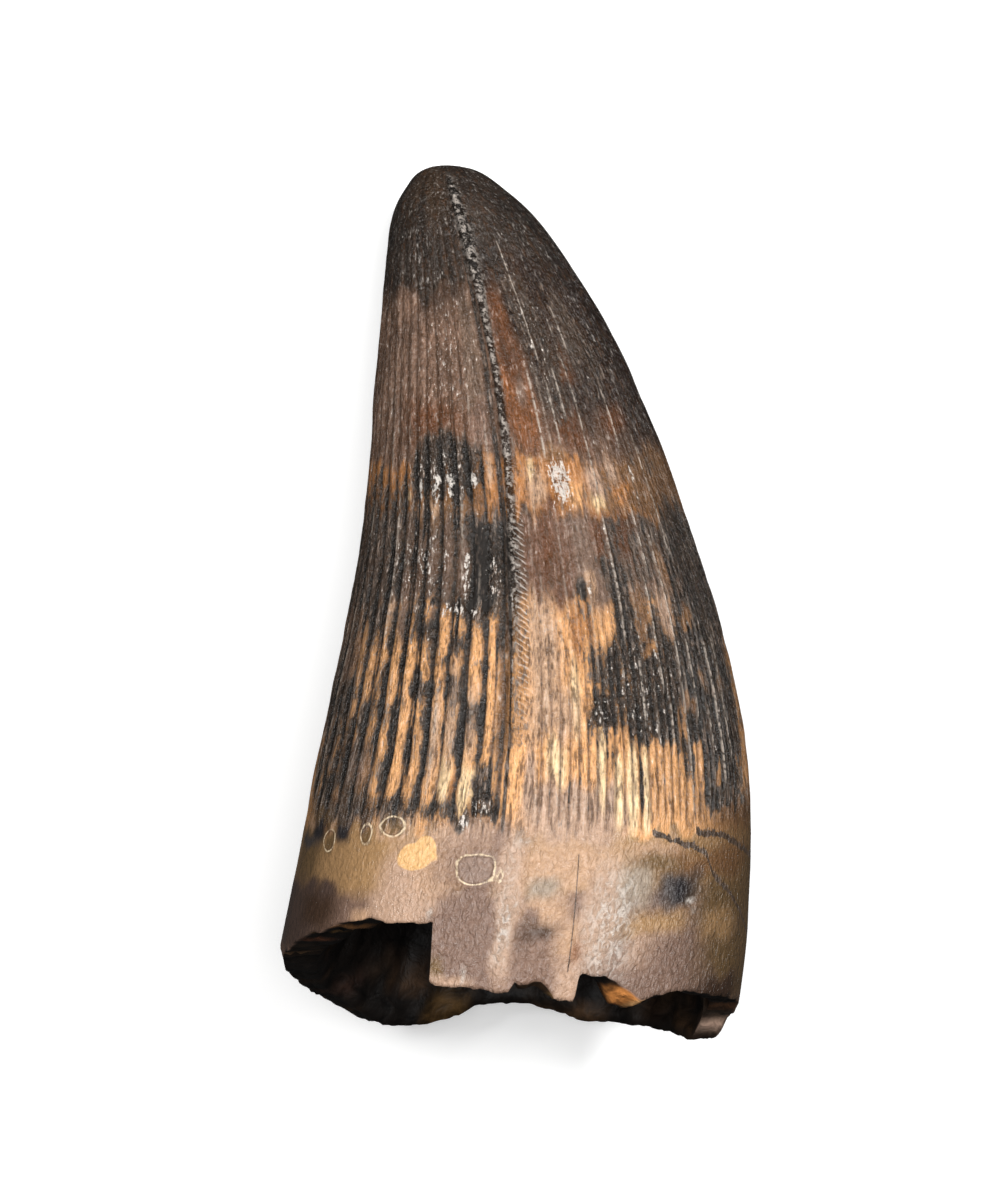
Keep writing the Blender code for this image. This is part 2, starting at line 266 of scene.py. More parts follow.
def enamel_rows():
    """The distances of the enamel's rows: crowded at the tip, then even."""
    tip = TIP_END * (np.arange(1, TIP_ROWS + 1) / (TIP_ROWS + 1)) ** 2
    upper = np.linspace(TIP_END, UPPER_END, UPPER_ROWS, endpoint=False)
    lower = np.linspace(UPPER_END, ENAMEL_END, LOWER_ROWS + 1)
    return np.concatenate([tip, upper, lower])


def rim(angle):
    """The broken rim's own angle and distance for each column, with a little roughness."""
    rough = layered_noise(angle, 0.0 * angle, (0.05, 240, 1.0, 41), (0.05, 90, 1.0, 42))
    return angle + table(angle, RIM_SHIFTS), table(angle, RIM) + rough


def worn_share(angle, distance):
    """1 where the underside is rubbed smooth, and 0 elsewhere."""
    from_below = np.abs(apart(angle, 270.0))
    return smooth_fall(*WORN_ANGLES, from_below) * plateau(distance, *WORN_DISTANCES)


def patch(angle, distance, at, along, half_angle, half_length, edge=0.5):
    """1 inside a rounded patch and 0 outside: its middle, half its size each way, and its edge's softness.

    The patch is where the cube root of the sum of the cubes of the two shares is below 1, through a
    soft step.
    """
    across = np.abs(apart(angle, at)) / half_angle
    down = np.abs(distance - along) / half_length
    return smooth_fall(1.0 - edge, 1.0 + edge, np.cbrt(across**3 + down**3))


# Pale hair-thin crests on the enamel, their paleness partly a painted highlight:
# the angle, and the distances where each starts and ends
FINE_CRESTS = (
    (75, 3.4, 9.2), (81.3, 9, 13.1), (74.4, 9.4, 12.6), (69.8, 9, 11.4), (63.2, 6.8, 14.5), (63.8, 15, 20.4),
    (58, 6.3, 8.6), (48.2, 9.8, 12.6), (50.8, 14.6, 17.6), (53.4, 17.5, 22.4), (51.8, 22.4, 24.4),
    (46, 15.6, 27), (38.4, 11.4, 17), (32.6, 20, 26), (27, 19.8, 25.2), (65.2, 20.8, 22), (60, 20.7, 23.6),
    (41.2, 19.8, 23.5), (36.8, 22.5, 24.8),
)
# Long grooves between the ribs of the left side: the same
DEEP_GROOVES = (
    (136, 16, 25), (130.3, 14, 25.5), (125, 19, 26), (120.2, 12, 26), (114.3, 8.5, 16), (113.6, 18, 20.6),
    (109.5, 12.4, 26), (104, 19, 25), (101, 19.5, 26.5), (98.8, 21, 27), (141, 16, 22), (127.6, 12.8, 16.6),
    (147, 18, 26),
)


def nearest_column(angles, angle):
    """The index of the column closest to an angle."""
    return int(np.argmin(np.abs(apart(angles, angle))))


def ridge_relief(columns, distance):
    """The ridges: how far each place stands out, and how much of a groove it is.

    Across a ridge the height is the square root of a half sine, so crests are broad and grooves are
    narrow. Each ridge has its own height, its own start, and swells and shrinks along its way.
    """
    angles, places, ridges, bands = columns
    random = np.random.default_rng(7)
    own_height = random.uniform(0.55, 1.35, ridges.max() + 1)[ridges]
    own_start = random.uniform(RIDGES_START, 7.0, ridges.max() + 1)[ridges]
    profile = np.sqrt(np.sin(np.pi * places))
    swell = 1.0 + 0.6 * around_noise(angles, distance, 68, 1.8, 8)
    grown = smooth_step(own_start - 1.5, own_start + 1.5, distance)
    enamel = smooth_fall(ENAMEL_END - ENAMEL_FADE, ENAMEL_END, distance)
    share = grown * enamel * (1.0 - worn_share(angles, distance)) * (bands != KEEL_BAND)
    share = share * (1.0 - 0.85 * patch(angles, distance, *SMOOTH_PLACE))
    calm = 1.0 - 0.55 * (bands < KEEL_BAND) * smooth_fall(17.0, 23.0, distance)
    height = (profile - 0.7) * own_height * swell * share * calm
    return height, (1.0 - profile) * share


def keel_relief(angle, distance):
    """The upper keel's height, its mask, the mask of its wrinkled side, and the lower keel's height."""
    middle = KEEL_ANGLE_UP + (KEEL_ANGLE_LOW - KEEL_ANGLE_UP) * smooth_step(10.0, 17.0, distance)
    off = apart(angle, middle)
    width = KEEL_WIDTH + KEEL_WIDER_AT_TIP * smooth_fall(1.5, 9.0, distance)
    rope = bell(off, width * np.where(off > 0.0, 0.75, 1.15))
    along = plateau(distance, 0.2, 1.6, KEEL_END - 5.0, KEEL_END)
    beaded = smooth_fall(KEEL_ROPE_END - 2.0, KEEL_ROPE_END + 1.0, distance)
    bead = np.sin(2 * np.pi * distance / BEAD_LENGTH + 1.0 + 0.5 * off)
    height = rope * along * (KEEL_HEIGHT + BEAD_HEIGHT * bead * beaded)
    gutter = bell(apart(angle, middle + 3.2), 1.0) * along
    wrinkled = plateau(apart(middle, angle), *WRINKLE_ANGLES) * plateau(distance, *WRINKLE_DISTANCES)
    under = UNDER_KEEL_HEIGHT * bell(apart(angle, UNDER_KEEL_ANGLE), UNDER_KEEL_WIDTH) * along
    return height - GUTTER_DEPTH * gutter, rope * along, wrinkled, under * (1.0 - worn_share(angle, distance))


def build_outside(columns, settings):
    """The outer surface's rows: arrays of angle and distance, the relief, and the masks of its features."""
    angles = columns[0]
    rows = enamel_rows()
    rim_angle, rim_distance = rim(angles)
    along = (np.arange(1, ROOT_ROWS + 1) / ROOT_ROWS)[:, None]
    root_distance = ENAMEL_END + (rim_distance - ENAMEL_END) * along
    root_angle = angles + apart(rim_angle, angles) * along**1.5
    distance = np.concatenate([np.repeat(rows[:, None], len(angles), axis=1), root_distance])
    base_angle = np.concatenate([np.repeat(angles[None, :], len(rows), axis=0), root_angle])
    column_angle = np.broadcast_to(angles, distance.shape)

    wander = layered_noise(column_angle, distance, (0.5, 24, 5.0, 11), (0.22, 80, 2.2, 12))
    wander = wander * (1.0 - bell(apart(column_angle, 95.2), 6.0)) * smooth_step(0.5, 4.0, distance)
    wander = wander * smooth_fall(ENAMEL_END - 2.0, ENAMEL_END, distance)

    wide = tuple(np.broadcast_to(part, distance.shape) for part in columns)
    ridges, groove = ridge_relief(wide, distance)
    keel, rope, wrinkled, under_keel = keel_relief(column_angle, distance)
    root = smooth_step(ENAMEL_END - 0.5, ENAMEL_END + 0.4, distance)
    ring = nearest_edge(base_angle, distance, RINGS)

    on_crest = np.isclose(columns[1], 0.5) & (columns[3] != KEEL_BAND)
    lasting = layered_noise(column_angle, distance, (1.0, 150, 3.2, 91), (0.6, 300, 1.1, 92))
    crest = (0.35 + 0.25 * (base_angle > 97.0)) * on_crest * smooth_step(0.0, 0.75, lasting)
    crest = crest * plateau(distance, *CREST_DISTANCES)
    for at, start, end in FINE_CRESTS:
        i = nearest_column(angles, at)
        crest[:, i] = np.maximum(crest[:, i], plateau(distance[:, i], start, start + 0.5, end - 0.5, end))
    for at, start, end in DEEP_GROOVES:
        i = nearest_column(angles, at)
        deep = plateau(distance[:, i], start, start + 1.0, end - 1.0, end)
        ridges[:, i] = ridges[:, i] - 0.9 * deep
        groove[:, i] = np.maximum(groove[:, i], 1.4 * deep)

    step = plateau(base_angle, *STEP_ANGLES) * plateau(distance, *STEP_DISTANCES)
    dents = layered_noise(base_angle, distance, (0.035, 40, 1.7, 21), (0.02, 110, 0.7, 22))
    swelling = 0.12 * around_noise(base_angle, distance, 9, 6.0, 23) * smooth_step(1.0, 6.0, distance)
    crease = 0.05 * bell(apart(base_angle, 94.2), 1.3) * smooth_step(27.0, 29.5, distance)
    worn_rim = smooth_step(-0.45, 0.0, distance - rim_distance) * plateau(base_angle, *WORN_RIM_ANGLES)
    relief = settings.ridge_height / MM * ridges
    relief = relief + settings.keel_height / MM / KEEL_HEIGHT * (keel + under_keel) + CREST_HEIGHT * crest
    for depth, *place in PITS:
        relief = relief - depth * patch(base_angle, distance, *place)
    relief = relief - STEP_DEPTH * step + dents * (1.0 - 0.5 * root) + swelling + crease
    relief = relief + SCAR_EDGE_HEIGHT * bell(ring, SCAR_EDGE_WIDTH) - WORN_RIM_DEPTH * worn_rim
    right_side = smooth_fall(91.0, 94.0, base_angle) + smooth_step(182.0, 190.0, base_angle)
    faint = 1.0 - 0.60 * right_side * smooth_fall(18.0, 24.5, distance)
    masks = {
        "groove": np.clip(groove * faint * (0.65 + 0.35 * smooth_step(11.0, 14.0, distance)), 0.0, 1.0),
        "crest": crest * (1.0 - worn_share(base_angle, distance)),
        "rope": rope * smooth_fall(KEEL_ROPE_END, KEEL_ROPE_END + 8.0, distance),
        "wrinkled": wrinkled,
        "root": root,
        "ring": np.clip(ring, -1.0, 1.0),
        "flake": np.clip(nearest_edge(base_angle, distance, AMBER_FLAKE), -1.0, 1.0),
        "seam_upper": seam_distance(base_angle, distance, SEAMS[0]),
        "seam_lower": seam_distance(base_angle, distance, SEAMS[1]),
    }
    return base_angle, base_angle + wander, distance, relief, masks


# Ringed scars and an amber flake on the root: the middle's angle and distance, and half the sizes
RINGS = (
    (148.3, 28, 2.7, 0.4), (133.9, 27.62, 1.8, 0.4), (125.9, 27.3, 3.7, 0.42), (102.2, 28.72, 4.7, 0.6),
    (96.6, 28.95, 0.7, 0.2),
)
AMBER_FLAKE = ((118.2, 28.34, 5.6, 0.5), (115.9, 28.16, 3.2, 0.6))
# About how many millimetres a degree is there
DEGREE_LENGTH = 0.16


def edge_distance(angle, distance, at, along, half_angle, half_length):
    """How far a place is from an uneven oval's edge, in millimetres, negative inside it."""
    uneven = layered_noise(angle, distance, (0.13, 170, 0.4, 31), (0.11, 60, 0.8, 32))
    far = np.hypot(apart(angle, at) / half_angle, (distance - along) / half_length)
    return (far - 1.0 + uneven) * min(half_angle * DEGREE_LENGTH, half_length)


def nearest_edge(angle, distance, ovals):
    """The distance from the edge of the nearest of the ovals."""
    return np.minimum.reduce([edge_distance(angle, distance, *oval) for oval in ovals])


# Dark seams where the enamel ends: the angle and distance of each one's points
SEAMS = (
    (
        (-1, 33), (38, 29.2), (41, 28.36), (46, 28.1), (50.5, 27.93), (55, 27.68), (59.5, 27.45), (63, 26.6),
    ),
    (
        (0, 29), (15, 28.7), (25, 28.2), (30, 28), (34.5, 27.74), (38, 27.64), (42, 27.62), (45.5, 27.5),
        (50, 26.9),
    ),
)


def seam_distance(angle, distance, points):
    """How far a place is above (negative) or below a seam's line, and 1 where the seam has ended."""
    line = table(angle, points) + 0.05 * around_noise(angle, distance, 180, 1.0, 62)
    return np.where(angle < points[-2][0], np.clip(distance - line, -1.0, 1.0), 1.0)


def build_inside(columns, rim_angle, rim_distance, settings):
    """The broken face and the pulp cavity's wall, from the rim to just before the blind end.

    The face goes straight from the outer edge to the inner one, with a rough surface. The wall is an
    oval that narrows toward its blind end by a power of the distance left, with lumps on it.
    """
    angles = columns[0]
    inner_distance = rim_distance + table(rim_angle % TURN, RIM_BEVELS)
    share = (np.arange(1, FACE_ROWS + 1) / (FACE_ROWS + 1))[:, None]
    wall = settings.wall_thickness / MM

    def cavity_half(distance):
        mouth = np.clip((distance - CAVITY_BLIND_END) / (CAVITY_MOUTH - CAVITY_BLIND_END), 0.0, 1.0)
        return (CAVITY_HALF_WIDTH + WALL_THICKNESS - wall) * mouth**CAVITY_FULLNESS

    face_distance = rim_distance + (inner_distance - rim_distance) * share
    rough = 0.10 * around_noise(angles + 0 * share, 9.0 * share + 0 * angles, 130, 1.0, 51)
    face_distance = face_distance + rough * np.sin(np.pi * share)
    face_half = half_width(rim_distance) * (1 - share) + cavity_half(inner_distance) * share
    face_angle = np.broadcast_to(rim_angle, face_distance.shape)

    along = (np.arange(0, CAVITY_ROWS) / CAVITY_ROWS)[:, None] ** 1.25
    wall_distance = inner_distance + (CAVITY_BLIND_END - inner_distance) * along
    wall_angle = rim_angle + apart(angles, rim_angle) * along
    lumps = layered_noise(wall_angle, wall_distance, (0.30, 26, 1.6, 52), (0.16, 70, 0.7, 53))
    deeper = smooth_step(0.0, 0.6, inner_distance - wall_distance)
    low_side = 0.5 - 0.5 * np.sin(np.radians(wall_angle))
    lumps = lumps * (0.25 + 0.75 * deeper) * (0.6 + 0.8 * low_side) - 0.15
    angle = np.concatenate([face_angle, wall_angle])
    distance = np.concatenate([face_distance, wall_distance])
    half = np.concatenate([face_half, cavity_half(wall_distance)])
    lumps = lumps * np.minimum(1.0, (wall_distance - CAVITY_BLIND_END) / 3.0)
    relief = np.concatenate([0 * face_half, lumps])
    return angle, distance, half, relief


# Colours of the enamel and the root where no dark stain covers them, as they look in white light
PIGMENTS = {
    "tip": (0.033, 0.023, 0.017), "tip_brown": (0.052, 0.031, 0.018), "taupe": (0.2, 0.116, 0.076),
    "pale_taupe": (0.158, 0.099, 0.066), "pink_taupe": (0.235, 0.142, 0.1), "umber": (0.021, 0.011, 0.007),
    "rust": (0.125, 0.045, 0.016), "bright_rust": (0.22, 0.078, 0.024), "brown": (0.07, 0.038, 0.023),
    "red_brown": (0.15, 0.07, 0.039), "grey_brown": (0.19, 0.118, 0.082), "amber": (0.79, 0.4, 0.165),
    "orange": (0.46, 0.195, 0.062), "dim_amber": (0.24, 0.12, 0.052), "cream": (0.93, 0.66, 0.37),
    "peach": (0.525, 0.322, 0.196), "pink_tan": (0.49, 0.315, 0.215), "olive": (0.4, 0.232, 0.106),
    "dark_olive": (0.195, 0.117, 0.053), "purple": (0.22, 0.135, 0.098), "dark_purple": (0.1, 0.062, 0.048),
    "cloud": (0.34, 0.26, 0.19), "disc": (0.275, 0.182, 0.137), "slate": (0.08, 0.066, 0.062),
    "ink": (0.03, 0.026, 0.028),
}

# Bands right round the tooth: where each starts and ends, how soft its ends are, pigment and stain
BANDS = (
    (-5.0, 5.2, 1.5, "tip", 0.0),
    (5.7, 13.0, 1.1, "taupe", 0.12),
    (13.0, 15.3, 0.15, "orange", 0.25),
    (15.3, 18.6, 0.3, "grey_brown", 0.55),
    (18.6, 24.0, 0.4, "amber", 0.48),
    (24.0, 27.6, 0.3, "amber", 0.30),
    (27.6, 29.7, 0.15, "olive", 0.0),
    (29.7, 50.0, 0.5, "purple", 0.0),
)

# Patches of pigment on the enamel, and then on the root: its name, and the rest as for pits
TINT_PATCHES = (
    ("tip_brown", 124, 1.3, 20, 1, 0.7), ("brown", 108, 6.1, 9, 0.5), ("pale_taupe", 103.6, 9, 3.8, 2.7, 0.3),
    ("pink_taupe", 103, 11.8, 4, 0.9), ("brown", 99, 9, 1, 4.2, 0.4), ("rust", 124, 11.4, 14, 0.8, 0.8),
    ("umber", 18, 8.6, 42, 4, 0.25), ("umber", 66, 8, 15, 3.8, 0.4), ("umber", 88.5, 6, 4, 1.6, 0.7),
    ("rust", 86.5, 9.4, 5.6, 3.4), ("bright_rust", 86, 11.2, 5.5, 1.5),
    ("bright_rust", 83, 7.4, 2.4, 0.5, 0.8), ("bright_rust", 91.5, 10.2, 1.5, 1.6, 0.6),
    ("grey_brown", 85.5, 10, 1.8, 0.8, 0.8), ("umber", 79, 7, 4, 1.4, 0.6), ("umber", 76, 9.8, 3, 0.8, 0.6),
    ("rust", 69, 11.9, 7, 0.8, 0.6), ("rust", 46, 11.2, 7, 0.5, 0.7), ("rust", 66, 9.2, 6, 0.4, 0.8),
    ("dim_amber", 44, 14, 22, 1.2, 0.3), ("orange", 87, 14, 7.5, 1, 0.15), ("peach", 86, 13.9, 3, 0.4, 0.8),
    ("cream", 87, 13.4, 1.1, 0.3, 0.7), ("umber", 90, 15.1, 2, 0.22, 0.6), ("rust", 81.5, 14.9, 2, 0.3, 0.6),
    ("peach", 85.5, 14.4, 3, 0.4, 0.6), ("amber", 72, 14.6, 3.6, 0.45, 0.4),
    ("pink_tan", 63.5, 13.7, 3.2, 0.7), ("cream", 64, 14.6, 2.4, 0.3, 0.6), ("pink_tan", 55, 13.3, 2.4, 0.45),
    ("orange", 54, 14.4, 3, 0.35, 0.6), ("orange", 49.5, 14.1, 1.4, 0.4, 0.6),
    ("peach", 45.3, 13.6, 0.8, 0.4), ("dim_amber", 18, 13.5, 24, 1, 0.35),
    ("dim_amber", 78, 13.1, 5, 0.3, 0.6), ("peach", 101.8, 14, 1, 0.9), ("orange", 103, 14.8, 4, 0.6, 0.4),
    ("dim_amber", 120, 15.1, 15, 0.6), ("peach", 123.5, 15.1, 1.7, 0.35, 0.6),
    ("cream", 135.3, 14.5, 1.2, 0.22, 0.6), ("peach", 130.6, 14.8, 0.9, 0.5, 0.6),
    ("red_brown", 84.5, 17, 8.5, 1.9, 0.2), ("rust", 84.5, 16.6, 1.6, 1.5),
    ("grey_brown", 71, 17, 5.5, 1.9, 0.3), ("rust", 66.5, 16.2, 2.6, 1), ("rust", 57, 16, 5.5, 0.9),
    ("peach", 72.5, 18.1, 1.6, 0.5), ("umber", 15, 17, 22, 2, 0.3), ("umber", 170, 17, 24, 2.2, 0.4),
    ("grey_brown", 143, 17, 5, 1.2, 0.6), ("brown", 99, 20.2, 2, 1.3), ("dim_amber", 99, 22.8, 1.6, 2, 0.4),
    ("peach", 88, 20.5, 4.5, 2, 0.4), ("orange", 78.2, 20, 2, 1.1, 0.4), ("orange", 74.8, 19.7, 1.3, 0.8),
    ("cream", 80, 22.4, 1.2, 1.3), ("peach", 86, 23, 6.5, 1), ("cream", 85, 24.9, 2.2, 0.8),
    ("pink_tan", 79, 26.8, 14, 1.2, 0.25), ("pink_tan", 91.5, 25.4, 1.4, 1.4, 0.4),
    ("cream", 65, 25.6, 1.5, 1.9, 0.3), ("cream", 68.8, 26, 1.1, 1.5, 0.3), ("cream", 73.4, 25, 1, 1.3, 0.4),
    ("cream", 61, 25.6, 1, 1.5, 0.4), ("dim_amber", 12, 27, 26, 0.8), ("cream", 107.6, 25.6, 1.6, 1, 0.4),
    ("cream", 105, 25.7, 1, 0.8, 0.4), ("orange", 110.5, 25.8, 1, 0.8, 0.4),
    ("cream", 113.6, 25.3, 1.8, 0.9, 0.4), ("peach", 113.4, 22.6, 1.8, 1.8), ("peach", 107.2, 23, 1.8, 1.2),
    ("peach", 118.2, 23.8, 1.6, 1.6), ("grey_brown", 121.5, 19.7, 1.6, 1),
    ("grey_brown", 133, 19.2, 2, 0.8, 0.6), ("peach", 138.2, 19, 1.6, 0.7, 0.6),
    ("grey_brown", 164, 21, 12, 3), ("grey_brown", 144, 25.2, 7, 1, 0.6), ("dim_amber", 44, 17.5, 2.4, 0.8),
    ("dim_amber", 38.4, 19, 3, 0.5), ("pink_tan", 47.5, 19.2, 3.2, 0.9), ("dim_amber", 57.5, 19.4, 3, 1.3),
    ("dim_amber", 35, 22.5, 14, 1.5, 0.6), ("brown", 147, 26.9, 15, 0.7),
)
ROOT_PATCHES = (
    ("olive", 140, 28.8, 24, 1.1, 0.3), ("dark_olive", 160, 28.6, 8, 1), ("ink", 155, 27.5, 3.5, 0.45),
    ("ink", 143, 27.45, 2.8, 0.5), ("slate", 137.5, 27.2, 3, 0.3), ("dark_olive", 152, 26.9, 8, 0.35),
    ("peach", 147.5, 27.2, 1.4, 0.35), ("peach", 125.5, 27.2, 6.2, 0.55, 0.3),
    ("dark_olive", 126, 27.26, 3.8, 0.36, 0.15), ("dark_olive", 133.9, 27.62, 1.5, 0.34, 0.3),
    ("olive", 113.5, 27.6, 3.5, 0.35), ("dark_olive", 148.3, 28, 2.2, 0.32, 0.3),
    ("peach", 161, 27.45, 3, 0.15, 0.6), ("slate", 161, 28, 6, 0.25, 0.7), ("pink_tan", 119, 29.3, 8, 1.3),
    ("peach", 112, 28.8, 6, 1.2), ("dark_purple", 162, 30.9, 16, 1.4, 0.4), ("brown", 148, 30.6, 8, 0.7, 0.6),
    ("dark_purple", 145, 29.9, 3, 0.35, 0.7), ("dark_purple", 153, 29.8, 2.5, 0.3, 0.7),
    ("pink_tan", 121, 30.3, 7, 0.6), ("peach", 131, 30.6, 3, 0.3, 0.6), ("pink_tan", 104, 27.5, 10, 0.6, 0.6),
    ("purple", 101.8, 29.9, 3.4, 0.7, 0.3), ("purple", 97.5, 28, 2, 0.9, 0.6),
    ("purple", 102.2, 28.72, 9, 0.9, 1), ("disc", 102.2, 28.72, 4.6, 0.58, 0.1),
    ("purple", 103, 31.6, 7.5, 1.8, 0.3), ("dark_olive", 108.5, 32.5, 1.6, 0.4, 0.6),
    ("pink_tan", 105, 32.85, 5, 0.2, 0.6), ("pink_tan", 93.5, 31, 2.6, 1.8),
    ("pink_tan", 94.5, 28.6, 3.5, 1.1), ("peach", 84, 28.8, 7.5, 0.9, 0.4),
    ("cloud", 86.2, 29.5, 3.6, 0.5, 0.6), ("peach", 85, 30.3, 5, 0.5, 0.6),
    ("purple", 88.2, 30.5, 1.8, 0.3, 0.6), ("brown", 86, 31.2, 4.2, 0.5, 0.7),
    ("pink_taupe", 84.5, 32, 5.5, 0.7, 0.6), ("peach", 78, 31.4, 3.6, 0.7, 0.8),
    ("bright_rust", 76, 31.8, 1.6, 0.4, 0.8), ("pink_tan", 78, 32.9, 3.5, 0.7, 0.6),
    ("peach", 74, 28.7, 7.5, 0.7), ("pink_tan", 71.5, 30.4, 4.5, 1.9), ("cloud", 63.5, 29.4, 5, 0.85),
    ("peach", 57, 28.3, 8, 0.4), ("dim_amber", 46, 28.6, 9, 0.5, 0.6), ("olive", 40, 28.3, 6, 0.3, 0.7),
    ("slate", 50.5, 29.6, 6.5, 0.7), ("dark_olive", 58, 28.6, 7, 0.3, 0.7),
    ("slate", 43.5, 29.2, 2.4, 0.3, 0.7), ("ink", 49, 29.65, 3.2, 0.5, 0.6), ("olive", 57, 30.9, 9, 0.55),
    ("pink_tan", 58, 31.9, 6, 0.6, 0.7), ("purple", 50, 32.4, 10, 1), ("dim_amber", 28, 28.8, 16, 0.7),
    ("dark_olive", 30, 30.4, 14, 1), ("olive", 33, 31.3, 8, 0.6, 0.6), ("dark_olive", 24, 32.4, 16, 0.8),
    ("brown", 24, 33.6, 18, 0.5), ("dark_olive", 8, 31, 14, 3.4),
)

# Dark stain, from 0 for none to 1 for solid, and the rest as for pits
STAIN_PATCHES = (
    (0.62, 74, 8, 9, 3.2, 0.6), (0.9, 91.7, 7.5, 1.1, 5), (0.85, 98.2, 6.5, 1.1, 5.5),
    (0.74, 119, 13.3, 14, 1.3, 0.3), (0.58, 162, 16.3, 30, 2.7, 0.25), (0.62, 141, 15.4, 8, 1),
    (0.41, 121, 17.2, 9.5, 1.8, 0.25), (0.75, 103.6, 17.2, 4.4, 1.72, 0.12), (1.3, 107, 17.3, 2, 1.7, 0.15),
    (1, 98.4, 15.5, 0.8, 3.6, 0.3), (1.25, 97.5, 20.6, 0.5, 6.9, 0.3), (1.3, 105.6, 18.72, 5, 0.16, 0.4),
    (1.2, 121, 18.9, 2.5, 0.1), (0.72, 142, 26.5, 13, 0.7), (0, 84, 17, 8.2, 1.9, 0.15),
    (0.2, 71, 16.6, 5.5, 1.5, 0.3), (0.05, 86.5, 9.4, 6, 3.7, 0.3), (0, 103.6, 9, 3.8, 2.7, 0.3),
    (0.55, 73, 10, 7, 1.7), (0.7, 52, 8, 10, 1.6, 0.6), (0.2, 64, 14, 32, 0.9, 0.3),
    (0.55, 33, 13.1, 4, 0.4, 0.7), (0.55, 44, 12.8, 2.2, 0.4, 0.7), (0.5, 60, 16.6, 7, 1.2),
    (0.8, 66.5, 17.2, 2.8, 0.35), (0.95, 20, 17.4, 20, 2.8, 0.3), (0.1, 138.1, 19.6, 1.9, 1.4, 0.25),
    (0.15, 143, 20.1, 1.7, 1.3, 0.3), (0.15, 149.6, 20.5, 1.9, 1.3, 0.35), (0.45, 155.5, 21.4, 2.2, 0.9),
    (0.3, 133, 18.6, 1.9, 1.1, 0.3), (0.15, 134.4, 21.8, 1.5, 1.2, 0.3), (0.05, 134.5, 24, 1.8, 1.25, 0.2),
    (0.35, 133.6, 25.5, 1.4, 0.5, 0.4), (0.15, 128.4, 21.2, 1.3, 1, 0.35),
    (0.05, 128.3, 23.6, 1.8, 1.4, 0.25), (0.15, 128.7, 25.5, 0.9, 0.7, 0.4),
    (0.05, 122.2, 22.1, 1.5, 0.9, 0.3), (0.1, 122.5, 23.7, 1.3, 0.9, 0.3), (0.1, 123.6, 25.1, 1.3, 0.9, 0.35),
    (0.1, 117.3, 21.9, 1.8, 1.2, 0.3), (0.35, 118.2, 24.4, 1.4, 1.4), (0.05, 113.3, 22.5, 1.8, 1.7, 0.25),
    (0.05, 113.7, 25.3, 1.8, 1, 0.3), (0.82, 145, 23.2, 6.5, 1, 0.3), (0.8, 155, 23.8, 9, 1.4, 0.4),
    (0.95, 136.9, 22.2, 0.9, 1.4, 0.35), (0.95, 131.2, 22.2, 1.2, 1.9, 0.3), (0.9, 131.2, 25, 1, 1, 0.4),
    (0.9, 126, 24.8, 1.1, 1.1, 0.35), (0.95, 120.3, 23.9, 0.9, 1.6, 0.3), (0.8, 117, 20.6, 2.2, 0.4),
    (0.9, 112.5, 20.2, 2, 0.6, 0.4), (0.75, 143, 25.3, 8, 1.1), (0.6, 158, 25.6, 10, 1.1),
    (0.7, 121, 26.5, 16, 0.35, 0.6), (0.1, 106.6, 20, 1.5, 1, 0.3), (0.2, 102.6, 20.3, 1.5, 0.9, 0.4),
    (0.8, 105, 21.3, 2.4, 0.3, 0.4), (0.75, 104.1, 22.7, 1.1, 0.8, 0.4), (0.85, 105.2, 24.2, 1.3, 0.5, 0.4),
    (0.85, 109.6, 23.8, 1.1, 1, 0.4), (0.35, 107.3, 22.9, 1.5, 1.1), (0.05, 101.4, 23.2, 1.5, 1.1, 0.3),
    (1, 102.4, 25.6, 1.2, 0.8, 0.3), (0.05, 107.6, 25.6, 3.2, 0.95, 0.25), (0.2, 98.8, 23.5, 1.5, 3, 0.3),
    (0.75, 103, 26.6, 5, 0.3), (0.9, 107.5, 27.1, 1.6, 0.25, 0.6), (0.08, 84, 22.5, 8.5, 3.6, 0.25),
    (1.3, 75.2, 18.35, 0.95, 0.42, 0.3), (0.1, 69.3, 18.9, 2.6, 0.9, 0.3), (0.1, 69, 20.4, 1.3, 0.5, 0.4),
    (0.8, 65.8, 21.6, 5.5, 1.6, 0.35), (0.68, 72.5, 21.3, 3.2, 0.8, 0.4), (0.78, 71.8, 22.9, 4.5, 0.75, 0.4),
    (0.9, 62.5, 19, 3.5, 1.6, 0.4), (0.85, 56, 21.8, 9, 2.4, 0.35), (0.95, 32, 22.5, 16, 3.6, 0.3),
    (0.2, 57.5, 18.35, 2.6, 0.45, 0.4), (0.25, 57.5, 19.4, 2.4, 0.4), (0.3, 56.5, 20.3, 2.4, 0.3),
    (0.15, 50.4, 18.2, 2.2, 0.14), (0.1, 44, 17.5, 2.2, 0.85, 0.35), (0.2, 38.4, 19.05, 2.9, 0.42, 0.4),
    (0.3, 38, 18, 2.2, 0.25, 0.6), (0.35, 47.3, 19.2, 3, 0.8), (0.3, 37, 21.6, 1.6, 0.5, 0.4),
    (0.45, 27, 22, 3.6, 0.4, 0.6), (0.3, 44.2, 22.5, 2.8, 0.35), (0.35, 48, 23.2, 1.3, 0.6, 0.4),
    (0.1, 43.2, 24.4, 1.9, 0.35, 0.35), (0.1, 43, 25.3, 1.6, 0.7, 0.35), (0.35, 34.8, 25.3, 2, 0.5, 0.4),
    (0.5, 22, 25.2, 3, 0.3, 0.6), (0, 56, 26, 7.5, 1.9, 0.12), (0.05, 50, 26.5, 4, 1.2, 0.3),
    (0.02, 20, 27.35, 26, 0.62, 0.2), (0.95, 37.5, 26.2, 4.2, 0.5, 0.25), (0.8, 26, 26.5, 8, 0.18, 0.4),
    (0.08, 68.5, 25.9, 8, 2, 0.3), (0.75, 62.4, 25.4, 0.7, 0.9, 0.4), (0.6, 70.6, 24.9, 0.6, 0.8),
    (0.12, 82, 26.6, 10, 1.3, 0.3),
)
